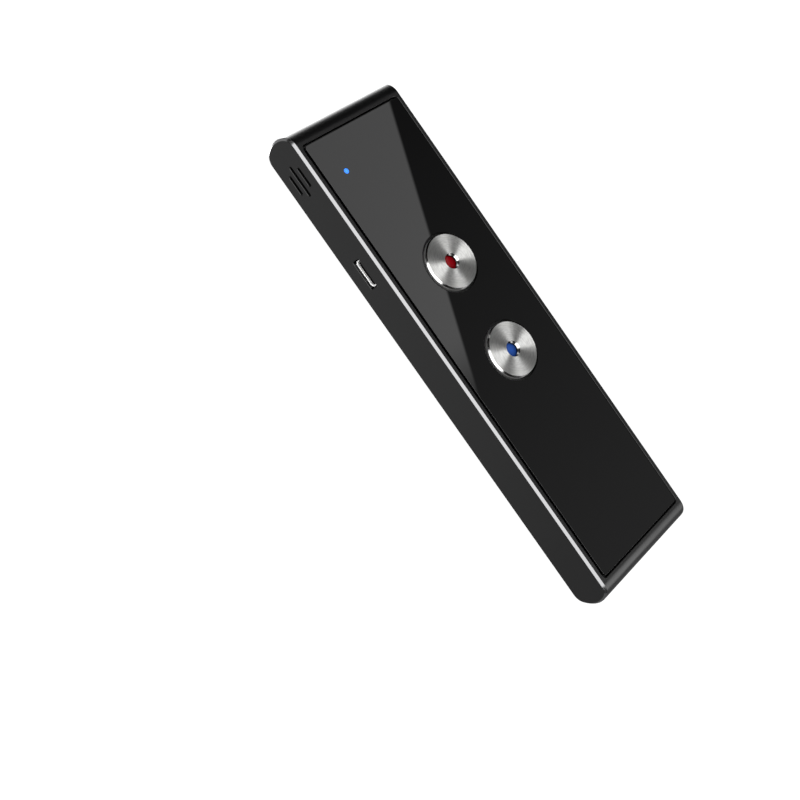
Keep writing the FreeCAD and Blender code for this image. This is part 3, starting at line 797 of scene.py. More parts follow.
def turned(
    profile: list[Point],
    centre: Point,
    steps: int,
    bands: list[int] | None = None,
) -> Mesh:
    """Turn a closed profile of radius and height round an upright axis.

    Args:
        profile: radius and height of each corner.
        centre: x and y of the axis.
        steps: how many sides the turn has.
        bands: the material number of each band, or the first material everywhere.

    Returns:
        The mesh.
    """
    rings = [circle(centre, radius, height, steps) for radius, height in profile]
    return loft(rings, closed=True, bands=bands)


def turned_plug(profile: list[Point], centre: Point, steps: int) -> Mesh:
    """Turn an open profile whose two ends lie on the axis, as for a plug or a lens.

    Args:
        profile: radius and height, where the first and last radius are zero.
        centre: x and y of the axis.
        steps: how many sides the turn has.

    Returns:
        The closed mesh.
    """
    return loft([circle(centre, radius, height, steps) for radius, height in profile[1:-1]])


def low_dome(radius: float, top: float, drop: float, steps: int) -> list[Point]:
    """The profile of a low dome, from its axis out to its rim.

    Args:
        radius: the rim's radius.
        top: the height on the axis.
        drop: how far the rim lies below it.
        steps: how many sides the profile has.

    Returns:
        Radius and height of each corner.
    """
    points = [(0.0, top), (LEAST_RADIUS, top)]
    for step in range(1, steps + 1):
        share = step / steps
        points.append((radius * share, top - drop * share**2))
    return points


def rounded_rectangle(
    half_a: float,
    half_b: float,
    radius: float,
    steps: int = CORNER_STEPS,
) -> list[Point]:
    """The outline of a rectangle with round corners.

    Args:
        half_a: half its size along the first axis.
        half_b: half its size along the second axis.
        radius: the corner radius.
        steps: how many sides each corner has.

    Returns:
        The corners in order.
    """
    points = []
    for quarter in range(4):
        sign_a = (1, -1, -1, 1)[quarter]
        sign_b = (1, 1, -1, -1)[quarter]
        for step in range(steps + 1):
            angle = math.pi / 2 * (quarter + step / steps)
            a = sign_a * (half_a - radius) + radius * math.cos(angle)
            b = sign_b * (half_b - radius) + radius * math.sin(angle)
            points.append((a, b))
    return points


def upright_ring(outline: list[Point], centre: Point, height: float) -> Ring:
    """An outline in X and Y, set at one height."""
    return [Vector((centre[0] + a, centre[1] + b, height)) for a, b in outline]


def side_ring(outline: list[Point], centre: Point, x: float) -> Ring:
    """An outline in Y and Z, set at one x."""
    return [Vector((x, centre[0] + a, centre[1] + b)) for a, b in outline]


def axis_of(node: str) -> Point:
    """X and y of the middle of a node's box."""
    low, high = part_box(node)
    return ((low.x + high.x) / 2, (low.y + high.y) / 2)


def joined(name: str, meshes: list[Mesh], *finishes: Finish) -> Piece:
    """Put several separate meshes into one object.

    Args:
        name: the object's name.
        meshes: the meshes, which are freed.
        finishes: its finishes, in the order of their material numbers.

    Returns:
        The new object.
    """
    whole = bmesh.new()
    for bm in meshes:
        bmesh.ops.recalc_face_normals(bm, faces=bm.faces)
        mesh = bpy.data.meshes.new(name + "_part")
        bm.to_mesh(mesh)
        bm.free()
        whole.from_mesh(mesh)
        bpy.data.meshes.remove(mesh)
    return new_piece(name, whole, *finishes)


def carve(piece: Piece, meshes: list[Mesh], operation: str = "DIFFERENCE") -> None:
    """Cut meshes out of a piece, or add them to it.

    Args:
        piece: the piece that changes.
        meshes: closed meshes that don't touch each other.
        operation: DIFFERENCE or UNION.
    """
    tool = joined(piece.name + "_tool", meshes)
    modifier = piece.modifiers.new("carve", "BOOLEAN")
    modifier.operation = operation
    modifier.solver = "EXACT"
    modifier.object = tool
    graph = bpy.context.evaluated_depsgraph_get()
    mesh = bpy.data.meshes.new_from_object(piece.evaluated_get(graph))
    piece.modifiers.clear()
    piece.data = mesh
    bpy.data.objects.remove(tool)


def finish_piece(
    piece: Piece,
    body: str,
    nodes: list[str],
    angle: float = SHARP_ANGLE,
) -> None:
    """Smooth a piece, tie it to its body and hide the nodes it stands for.

    Args:
        piece: the piece.
        body: the body it moves with.
        nodes: the nodes that it replaces.
        angle: edges sharper than this many degrees stay sharp.
    """
    mesh = piece.data
    mesh.shade_smooth()
    mesh.set_sharp_from_angle(angle=math.radians(angle))
    weighted = piece.modifiers.new("even_normals", "WEIGHTED_NORMAL")
    weighted.keep_sharp = True
    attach(piece, body)
    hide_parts(*nodes)
    LOG.info("%s: %d faces on %s", piece.name, len(mesh.polygons), body)


@dataclass
class HousingShell:
    """The wrap-round shell with its bevelled sides, grille, slots and key openings."""

    half_width: float = 19.225 * MM
    half_length: float = 70.0 * MM
    thickness: float = 12.64 * MM
    end_radius: float = 9.42 * MM
    end_height: float = 5.9 * MM
    front_corner: float = 3.93 * MM
    back_corner: float = 3.39 * MM
    bevel: float = 0.58 * MM
    side_wall: float = 1.65 * MM
    back_wall: float = 1.2 * MM
    pocket_half_length: float = 64.65 * MM
    cavity_half_length: float = 63.4 * MM
    ledge_height: float = 9.94 * MM
    inner_corner: float = 1.2 * MM
    rim_break: float = 0.09 * MM
    grille_columns: int = 12
    grille_rows: int = 10
    blind_rings: int = 2
    grille_pitch: float = 2.7 * MM
    grille_hole: float = 0.55 * MM
    blind_depth: float = 0.55 * MM
    grille_y: float = 48.3 * MM
    slot_y: float = 58.5 * MM
    slot_width: float = 0.98 * MM
    slot_lengths: tuple[float, float, float] = (5.5 * MM, 8.7 * MM, 5.5 * MM)
    slot_pitch: float = 2.35 * MM
    key_thickness: float = 3.4 * MM
    key_corner: float = 0.95 * MM
    key_places: tuple[Point, Point] = ((31.3 * MM, 8.4 * MM), (9.0 * MM, 24.4 * MM))
    port_y: float = 31.0 * MM
    port_height: float = 6.12 * MM
    port_length: float = 8.2 * MM
    port_thickness: float = 2.6 * MM
    port_corner: float = 0.12 * MM
    boss_radius: float = 2.0 * MM
    boss_hole: float = 0.82 * MM
    boss_top: float = 6.4 * MM
    boss_hole_depth: float = 3.2 * MM
    corner_steps: int = 14
    end_steps: int = 26
    hole_sides: int = 20
    opening_steps: int = 6
    slot_gap: float = 0.0001 * MM
    screw_head: float = 1.45 * MM
    boss_rows: Point = (39.8 * MM, -8.6 * MM)
    end_boss_x: float = 6.5 * MM
    boss_pilot: float = 0.3 * MM
    boss_sides: int = 32
    past: float = 1.0 * MM

    def half_outline(self, inset: float) -> list[Point]:
        """The outline of the +Y end, from the front flat round to the back flat.

        Args:
            inset: how far the outline is drawn in.

        Returns:
            The points in Y and Z.
        """
        centre_y = self.half_length - self.end_radius
        front_rise = self.thickness - self.front_corner - self.end_height
        back_rise = self.back_corner - self.end_height
        front_reach = math.sqrt((self.end_radius - self.front_corner) ** 2 - front_rise**2)
        back_reach = math.sqrt((self.end_radius - self.back_corner) ** 2 - back_rise**2)
        front_meet = math.atan2(front_rise, front_reach)
        back_meet = math.atan2(back_rise, back_reach)
        arcs = [
            (front_reach, front_rise, self.front_corner, math.pi / 2, front_meet),
            (0.0, 0.0, self.end_radius, front_meet, back_meet),
            (back_reach, back_rise, self.back_corner, back_meet, -math.pi / 2),
        ]
        points = []
        for number, (reach, rise, radius, start, end) in enumerate(arcs):
            steps = self.end_steps if number == 1 else self.corner_steps
            first = 0 if number == 0 else 1
            for step in range(first, steps + 1):
                angle = start + (end - start) * step / steps
                y = centre_y + reach + (radius - inset) * math.cos(angle)
                z = self.end_height + rise + (radius - inset) * math.sin(angle)
                points.append((y, z))
        return points

    def ring(self, x: float, inset: float) -> Ring:
        """The whole outline at one x."""
        half = self.half_outline(inset)
        other = [(-y, z) for y, z in reversed(half)]
        return [Vector((x, y, z)) for y, z in half + other]

    def grille_cutters(self) -> list[Mesh]:
        """The grille's holes, through in the middle and blind in the outer rings.

        Returns:
            One cutter for each hole.
        """
        cutters = []
        for column in range(self.grille_columns):
            for row in range(self.grille_rows):
                x = (column - (self.grille_columns - 1) / 2) * self.grille_pitch
                y = self.grille_y + (row - (self.grille_rows - 1) / 2) * self.grille_pitch
                ring = min(column, row, self.grille_columns - 1 - column, self.grille_rows - 1 - row)
                depth = self.blind_depth if ring < self.blind_rings else self.back_wall + self.past
                wide = self.grille_hole + self.rim_break
                profile = [
                    (0.0, -self.past),
                    (wide, -self.past),
                    (wide, 0.0),
                    (self.grille_hole, self.rim_break),
                    (self.grille_hole, depth),
                    (0.0, depth),
                ]
                cutters.append(turned_plug(profile, (x, y), self.hole_sides))
        return cutters

    def slot_cutters(self, side: Side) -> list[Mesh]:
        """The three microphone slots on one side.

        Args:
            side: the side they are cut through.

        Returns:
            One cutter for each slot.
        """
        cutters = []
        corner = self.slot_width / 2 - self.slot_gap
        for index, length in enumerate(self.slot_lengths):
            centre = (self.slot_y, self.thickness / 2 + (index - 1) * self.slot_pitch)
            cutters.append(self.opening_cutter(side, centre, (length, self.slot_width), corner))
        return cutters

    def opening_cutter(
        self,
        side: Side,
        centre: Point,
        size: Point,
        corner: float,
        steps: int = CORNER_STEPS,
    ) -> Mesh:
        """A rectangular opening with a broken outer edge through one side.

        Args:
            side: the side it is cut through.
            centre: its centre in Y and Z.
            size: its size along Y and Z.
            corner: its corner radius.
            steps: how many sides each corner has.

        Returns:
            The cutter.
        """
        path = [
            (self.half_width + self.past, self.rim_break),
            (self.half_width, self.rim_break),
            (self.half_width - self.rim_break, 0.0),
            (self.half_width - self.side_wall - self.past, 0.0),
        ]
        rings = []
        for depth, grow in path:
            halves = [part / 2 + grow for part in size]
            outline = rounded_rectangle(*halves, corner + grow, steps)
            rings.append(side_ring(outline, centre, side.value * depth))
        return loft(rings)

    def pocket_cutter(self, half_length: float, low: float, high: float, grow_top: bool) -> Mesh:
        """The pocket for the panel, or the cavity under it.

        Args:
            half_length: half its length along Y.
            low: its floor.
            high: its top.
            grow_top: whether the front edge is broken.

        Returns:
            The cutter.
        """
        half_x = self.half_width - self.side_wall
        steps = [(low, 0.0), (high, 0.0)]
        if grow_top:
            steps = [
                (low, 0.0),
                (high - self.rim_break, 0.0),
                (high, self.rim_break),
                (high + self.past, self.rim_break),
            ]
        rings = []
        for height, grow in steps:
            outline = rounded_rectangle(half_x + grow, half_length + grow, self.inner_corner + grow)
            rings.append(upright_ring(outline, (0.0, 0.0), height))
        return loft(rings)

    def build_bosses(self) -> None:
        """Build the screw bosses that stand on the back wall, in one piece."""
        low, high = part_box("frame_screws")
        reach_x = (high.x - low.x) / 2
        reach_y = (high.y - low.y) / 2
        side_x = reach_x - self.screw_head
        end_y = reach_y - self.screw_head
        places = [(sign * side_x, y) for sign in (-1, 1) for y in (*self.boss_rows, -end_y)]
        places += [(sign * self.end_boss_x, end_y) for sign in (-1, 1)]
        profile = [
            (self.boss_hole, self.boss_top - self.boss_hole_depth),
            (self.boss_hole, self.boss_top),
            (self.boss_radius - self.rim_break, self.boss_top),
            (self.boss_radius, self.boss_top - self.rim_break),
            (self.boss_radius, self.back_wall),
            (self.boss_pilot, self.back_wall),
            (self.boss_pilot, self.boss_top - self.boss_hole_depth),
        ]
        bosses = [turned(profile, place, self.boss_sides) for place in places]
        piece = joined("housing_bosses", bosses, ANODISED)
        finish_piece(piece, DEVICE, ["housing"])

    def build(self) -> None:
        """Build the shell and its bosses."""
        rings = [
            self.ring(-self.half_width, self.bevel),
            self.ring(-self.half_width + self.bevel, 0.0),
            self.ring(self.half_width - self.bevel, 0.0),
            self.ring(self.half_width, self.bevel),
        ]
        walls, bevels = range(2)
        shell = new_piece("housing_shell", loft(rings, bands=[bevels, walls, bevels]), ANODISED, POLISHED)
        ledge = self.ledge_height
        carve(shell, [self.pocket_cutter(self.pocket_half_length, ledge, self.thickness, True)])
        carve(shell, [self.pocket_cutter(self.cavity_half_length, self.back_wall, ledge + self.past, False)])
        carve(shell, self.grille_cutters())
        cutters = self.slot_cutters(Side.LEFT) + self.slot_cutters(Side.RIGHT)
        openings = [
            (Side.RIGHT, (y, self.thickness / 2), (length, self.key_thickness), self.key_corner)
            for y, length in self.key_places
        ]
        port = (self.port_length, self.port_thickness)
        openings.append((Side.LEFT, (self.port_y, self.port_height), port, self.port_corner))
        cutters += [self.opening_cutter(*opening, self.opening_steps) for opening in openings]
        carve(shell, cutters)
        finish_piece(shell, DEVICE, ["housing"])
        self.build_bosses()


def quarter_round(radius: float, steps: int) -> list[Point]:
    """A rounded edge from its side to its top.

    Args:
        radius: the edge's radius.
        steps: how many sides it has.

    Returns:
        How far each corner is drawn in, and how far it lies below the top.
    """
    points = []
    for step in range(steps + 1):
        angle = math.pi / 2 * step / steps
        points.append((radius * (1 - math.cos(angle)), radius * (1 - math.sin(angle))))
    return points


@dataclass
class FrontPanel:
    """The inset glossy panel with a soft edge, two button holes and a light hole."""

    half_width: float = 17.055 * MM
    half_length: float = 64.05 * MM
    corner: float = 0.8 * MM
    edge: float = 0.04 * MM
    edge_steps: int = 3
    hole_break: float = 0.03 * MM
    button_hole: float = 8.2 * MM
    light_hole: float = 0.74 * MM
    hole_sides: int = 128
    corner_steps: int = 10
    sharp_angle: float = 40.0
    past: float = 1.0 * MM

    def hole_cutter(self, centre: Point, radius: float, low: float, high: float) -> Mesh:
        """A round hole with a broken upper edge.

        Args:
            centre: x and y of the hole.
            radius: its radius.
            low: the panel's underside.
            high: the panel's top.

        Returns:
            The cutter.
        """
        profile = [
            (0.0, low - self.past),
            (radius, low - self.past),
            (radius, high - self.hole_break),
            (radius + self.hole_break, high),
            (radius + self.hole_break, high + self.past),
            (0.0, high + self.past),
        ]
        return turned_plug(profile, centre, self.hole_sides)

    def build(self, holes: list[Point], light: Point) -> None:
        """Build the panel.

        Args:
            holes: the centres of the button holes.
            light: the centre of the light hole.
        """
        low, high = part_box("front_panel")
        rings = []
        steps = [(low.z, 0.0)]
        steps += [(high.z - drop, inset) for inset, drop in quarter_round(self.edge, self.edge_steps)]
        for height, inset in steps:
            outline = rounded_rectangle(
                self.half_width - inset,
                self.half_length - inset,
                self.corner - inset,
                self.corner_steps,
            )
            rings.append(upright_ring(outline, (0.0, 0.0), height))
        panel = new_piece("front_panel_gloss", loft(rings), GLOSS_BLACK)
        cutters = [self.hole_cutter(hole, self.button_hole, low.z, high.z) for hole in holes]
        cutters.append(self.hole_cutter(light, self.light_hole, low.z, high.z))
        carve(panel, cutters)
        finish_piece(panel, DEVICE, ["front_panel"], self.sharp_angle)


@dataclass
class PressButton:
    """A round spun-metal cap with a polished chamfer and a coloured lens at the foot of a funnel."""

    name: str
    lens_colour: Colour
    radius: float = 7.55 * MM
    chamfer: float = 0.28 * MM
    chamfer_drop: float = 0.54 * MM
    lens_hole: float = 2.02 * MM
    funnel_mouth: float = 2.12 * MM
    funnel_foot: float = 1.74 * MM
    funnel_depth: float = 0.55 * MM
    lens_room: float = 0.1 * MM
    flange_lip: float = 1.2 * MM
    flange_thickness: float = 0.8 * MM
    skirt: float = 1.35 * MM
    roof: float = 1.44 * MM
    lens_radius: float = 2.0 * MM
    lens_drop: float = 1.15 * MM
    lens_dome: float = 0.12 * MM
    lens_flange: float = 4.0 * MM
    lens_flange_thickness: float = 0.8 * MM
    stem: float = 1.5 * MM
    sides: int = 144
    lens_sides: int = 64
    dome_steps: int = 6
    sharp_angle: float = 20.0

    def centre(self) -> Point:
        """The button's axis, from its node."""
        return axis_of(self.name)

    def build_cap(self) -> None:
        """Build the cap, its retaining flange and the hole for its lens."""
        low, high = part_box(self.name)
        top = high.z
        flange_top = low.z + self.flange_thickness
        foot = top - self.lens_drop + self.lens_room
        profile = [
            (self.lens_hole, top - self.roof),
            (self.lens_hole, foot),
            (self.funnel_foot, foot),
            (self.funnel_foot, top - self.funnel_depth),
            (self.funnel_mouth, top),
            (self.radius - self.chamfer, top),
            (self.radius, top - self.chamfer_drop),
            (self.radius, flange_top),
            (self.radius + self.flange_lip, flange_top),
            (self.radius + self.flange_lip, low.z),
            (self.radius - self.skirt, low.z),
            (self.radius - self.skirt, top - self.roof),
        ]
        # Painted shade: the lens hole's throat wall is in view but shares the moulded black of the hidden
        # faces, standing in for the shade in the hole.
        face, wall, hidden_and_painted_shade, edge = range(4)
        bands = [hidden_and_painted_shade, hidden_and_painted_shade, hidden_and_painted_shade, edge, face, edge, wall]
        bands += [hidden_and_painted_shade] * (len(profile) - len(bands))
        bm = turned(profile, self.centre(), self.sides, bands)
        spun = SpunFinish("spun_" + self.name, self.centre()[1])
        cap = new_piece(self.name + "_cap", bm, spun, SATIN, MOULDED, POLISHED_EDGE)
        finish_piece(cap, self.name + "_body", [self.name], self.sharp_angle)

    def build_lens(self) -> None:
        """Build the lens with a low dome, its flange and its stem."""
        node = self.name + "_lens"
        low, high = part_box(node)
        ceiling = high.z + self.lens_drop - self.roof
        profile = low_dome(self.lens_radius, high.z, self.lens_dome, self.dome_steps)
        profile += [
            (self.lens_radius, ceiling),
            (self.lens_flange, ceiling),
            (self.lens_flange, ceiling - self.lens_flange_thickness),
            (self.stem, ceiling - self.lens_flange_thickness),
            (self.stem, low.z),
            (0.0, low.z),
        ]
        tint = LensFinish("tint_" + self.name, self.lens_colour, self.centre(), self.lens_radius)
        bm = turned_plug(profile, self.centre(), self.lens_sides)
        lens = new_piece(self.name + "_window", bm, tint)
        finish_piece(lens, self.name + "_body", [node], LENS_ANGLE)

    def build(self) -> None:
        """Build the cap and the lens."""
        self.build_cap()
        self.build_lens()


@dataclass
class StatusLight:
    """The small light pipe that ends flush in the panel."""

    radius: float = 0.7 * MM
    dome: float = 0.06 * MM
    flange: float = 1.5 * MM
    flange_top: float = 11.74 * MM
    flange_thickness: float = 0.6 * MM
    colour: Colour = (0.062, 0.27, 1.0)
    glow: float = 0.75
    sides: int = 40
    dome_steps: int = 4

    def build(self) -> None:
        """Build the light pipe."""
        low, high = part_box(LIGHT_NODE)
        centre = axis_of(LIGHT_NODE)
        profile = low_dome(self.radius, high.z, self.dome, self.dome_steps)
        profile += [
            (self.radius, self.flange_top),
            (self.flange, self.flange_top),
            (self.flange, self.flange_top - self.flange_thickness),
            (self.radius, self.flange_top - self.flange_thickness),
            (self.radius, low.z),
            (0.0, low.z),
        ]
        tint = LensFinish("tint_status", self.colour, centre, self.radius, self.glow)
        pipe = new_piece("status_light", turned_plug(profile, centre, self.sides), tint)
        finish_piece(pipe, DEVICE, [LIGHT_NODE], LENS_ANGLE)


@dataclass
class SideKey:
    """A key that stands through the right wall, with a bright bevel, a flange and pads."""

    node: str
    body: str
    length: float
    half_thickness: float = 1.5 * MM
    corner: float = 0.75 * MM
    bevel: float = 0.32 * MM
    flange_lip: float = 0.8 * MM
    flange_thickness: float = 0.8 * MM
    flange_x: float = 17.525 * MM
    pad_x: float = 15.885 * MM
    pad_half: float = 0.8 * MM
    pad_offsets: tuple[float, ...] = (0.0,)
    lug_x: float = 0.0
    lug_radius: float = 1.1 * MM
    lug_half_height: float = 1.0 * MM
    lug_bore: float = 0.54 * MM
    lug_steps: int = 16
    bore_sides: int = 32
    pad_corner: float = 0.15 * MM
    past: float = 0.4 * MM

    def build(self) -> None:
        """Build the key."""
        low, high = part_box(self.node)
        centre = ((low.y + high.y) / 2, (low.z + high.z) / 2)
        half = self.length / 2
        back_x = self.flange_x - self.flange_thickness
        steps = [
            (back_x + self.past, 0.0),
            (high.x - self.bevel, 0.0),
            (high.x, self.bevel),
        ]
        rings = []
        for x, inset in steps:
            outline = rounded_rectangle(half - inset, self.half_thickness - inset, self.corner - inset)
            rings.append(side_ring(outline, centre, x))
        polished = 1
        key = new_piece(self.node + "_cap", loft(rings, bands=[polished, polished]), KEY_BLACK, POLISHED)
        sizes = [size + self.flange_lip for size in (half, self.half_thickness, self.corner)]
        outline = rounded_rectangle(*sizes)
        carve(key, [loft([side_ring(outline, centre, x) for x in (back_x, self.flange_x)])], "UNION")
        extras = []
        for offset in self.pad_offsets:
            pad = rounded_rectangle(self.pad_half, self.pad_half, self.pad_corner, SMALL_CORNER_STEPS)
            place = (centre[0] + offset, centre[1])
            extras.append(loft([side_ring(pad, place, x) for x in (self.pad_x, back_x + self.past)]))
        if self.lug_x:
            extras.append(self.lug(centre, back_x + self.past))
        carve(key, extras, "UNION")
        if self.lug_x:
            floor = centre[1] - 2 * self.lug_half_height
            ceiling = centre[1] + 2 * self.lug_half_height
            profile = [(0.0, floor), (self.lug_bore, floor), (self.lug_bore, ceiling), (0.0, ceiling)]
            carve(key, [turned_plug(profile, (self.lug_x, centre[0]), self.bore_sides)])
        finish_piece(key, self.body, [self.node])

    def lug(self, centre: Point, back_x: float) -> Mesh:
        """The rounded lug that turns on the pin.

        Args:
            centre: the key's centre in Y and Z.
            back_x: how far the lug runs into the flange.

        Returns:
            The lug.
        """
        points = [(back_x, self.lug_radius)]
        for step in range(self.lug_steps + 1):
            angle = math.pi / 2 + math.pi * step / self.lug_steps
            x = self.lug_x + self.lug_radius * math.cos(angle)
            points.append((x, self.lug_radius * math.sin(angle)))
        points.append((back_x, -self.lug_radius))
        rings = []
        for sign in (-1, 1):
            height = centre[1] + sign * self.lug_half_height
            rings.append([Vector((x, centre[0] + y, height)) for x, y in points])
        return loft(rings)


@dataclass
class ChargingSocket:
    """The metal sleeve of the charging socket, with a rounded mouth, two tabs and a black liner inside,
    which paints the shade deep in the socket.
    """

    half_length: float = 3.75 * MM
    half_height: float = 1.2 * MM
    wall: float = 0.28 * MM
    lower_bevel: float = 0.55 * MM
    lip: float = 0.1 * MM
    shade_liner: float = 0.14 * MM
    shade_liner_start: float = 0.6 * MM
    tab_length: float = 1.0 * MM
    tab_thickness: float = 0.3 * MM
    tab_depth: float = 1.6 * MM
    centre_height: float = 6.12 * MM
    tab_top: float = 6.4 * MM
    tab_corner: float = 0.2 * MM
    ease: float = 0.14 * MM

    def outline(self, inset: float) -> list[Point]:
        """The sleeve's outline in Y and Z: square above, bevelled below.

        Args:
            inset: how far it is drawn in.

        Returns:
            Its corners.
        """
        a = self.half_length - inset
        b = self.half_height - inset
        cut = self.lower_bevel
        ease = self.ease
        return [
            (a, b - ease),
            (a - ease, b),
            (-a + ease, b),
            (-a, b - ease),
            (-a, -b + cut),
            (-a + cut, -b),
            (a - cut, -b),
            (a, -b + cut),
        ]

    def build(self) -> None:
        """Build the sleeve and its two tabs."""
        low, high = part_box("usb_shell")
        centre = ((low.y + high.y) / 2, self.centre_height)
        path = [
            (high.x, 0.0),
            (low.x + self.lip, 0.0),
            (low.x, self.lip),
            (low.x, self.wall - self.lip),
            (low.x + self.lip, self.wall),
            (low.x + self.shade_liner_start, self.wall),
            (low.x + self.shade_liner_start, self.wall + self.shade_liner),
            (high.x, self.wall + self.shade_liner),
        ]
        rings = [side_ring(self.outline(inset), centre, x) for x, inset in path]
        # Painted shade: past its mouth the sleeve's inner wall is lined in black, standing in for the shade
        # deep in the socket.
        plated, shade_band = range(2)
        shade_liner_from = path.index((low.x + self.shade_liner_start, self.wall))
        bands = [plated] * shade_liner_from + [shade_band] * (len(path) - shade_liner_from)
        meshes = [loft(rings, closed=True, bands=bands)]
        for sign in (-1, 1):
            near = centre[0] + sign * (self.half_length - self.wall / 2)
            far = centre[0] + sign * (self.half_length + self.tab_length)
            halves = (abs(far - near) / 2, self.tab_depth / 2)
            outline = rounded_rectangle(*halves, self.tab_corner, SMALL_CORNER_STEPS)
            middle = (high.x - self.tab_depth / 2, (near + far) / 2)
            turned_outline = [(b, a) for a, b in outline]
            heights = (self.tab_top - self.tab_thickness, self.tab_top)
            meshes.append(loft([upright_ring(turned_outline, middle, height) for height in heights]))
        sleeve = joined("usb_sleeve", meshes, PLATED, MOULDED)
        finish_piece(sleeve, DEVICE, ["usb_shell"])


@dataclass
class Internals:
    """Everything inside the shell, whose nodes keep their shape and get their finish here."""

    dress: tuple[tuple[Finish, tuple[str, ...]], ...] = (
        (TAPE, ("panel_adhesive",)),
        (MOULDED, ("inner_frame", "speaker_frame", "usb_tongue")),
        (STEEL, ("frame_screws", "rocker_bracket", "rocker_pin")),
        (SWITCH_BLACK, (*(name + "_switch_body" for name in SWITCHES), "battery_connector")),
        (NATURAL, tuple(name + "_switch_plunger" for name in SWITCHES)),
        (RESIN, ("red_led", "blue_led", "status_led")),
        (BOARD, ("main_board", "key_board", "battery_protection_board")),
        (CHIP, ("processor", "memory_chip", "audio_chip", "radio_chip")),
        (TINNED, ("shield_can", "microphone_left", "microphone_right")),
        (CERAMIC, ("antenna",)),
        (GOLD, ("usb_contacts",)),
        (MESH, ("speaker_mesh",)),
        (FOAM, ("speaker_gasket", "battery_pad")),
        (CONE, ("speaker_cone",)),
        (NICKEL, ("speaker_magnet",)),
        (WIRE, ("speaker_leads", "battery_leads")),
        (RUBBER, ("mic_boot_left", "mic_boot_right")),
        (FOIL, ("battery_cell",)),
    )

    def build(self) -> None:
        """Give every inner node its finish."""
        for finish, nodes in self.dress:
            for node in nodes:
                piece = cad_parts[node]
                piece.data.materials.clear()
                piece.data.materials.append(Paint.get(finish))
                LOG.info("%s: dressed in %s", node, finish.name)


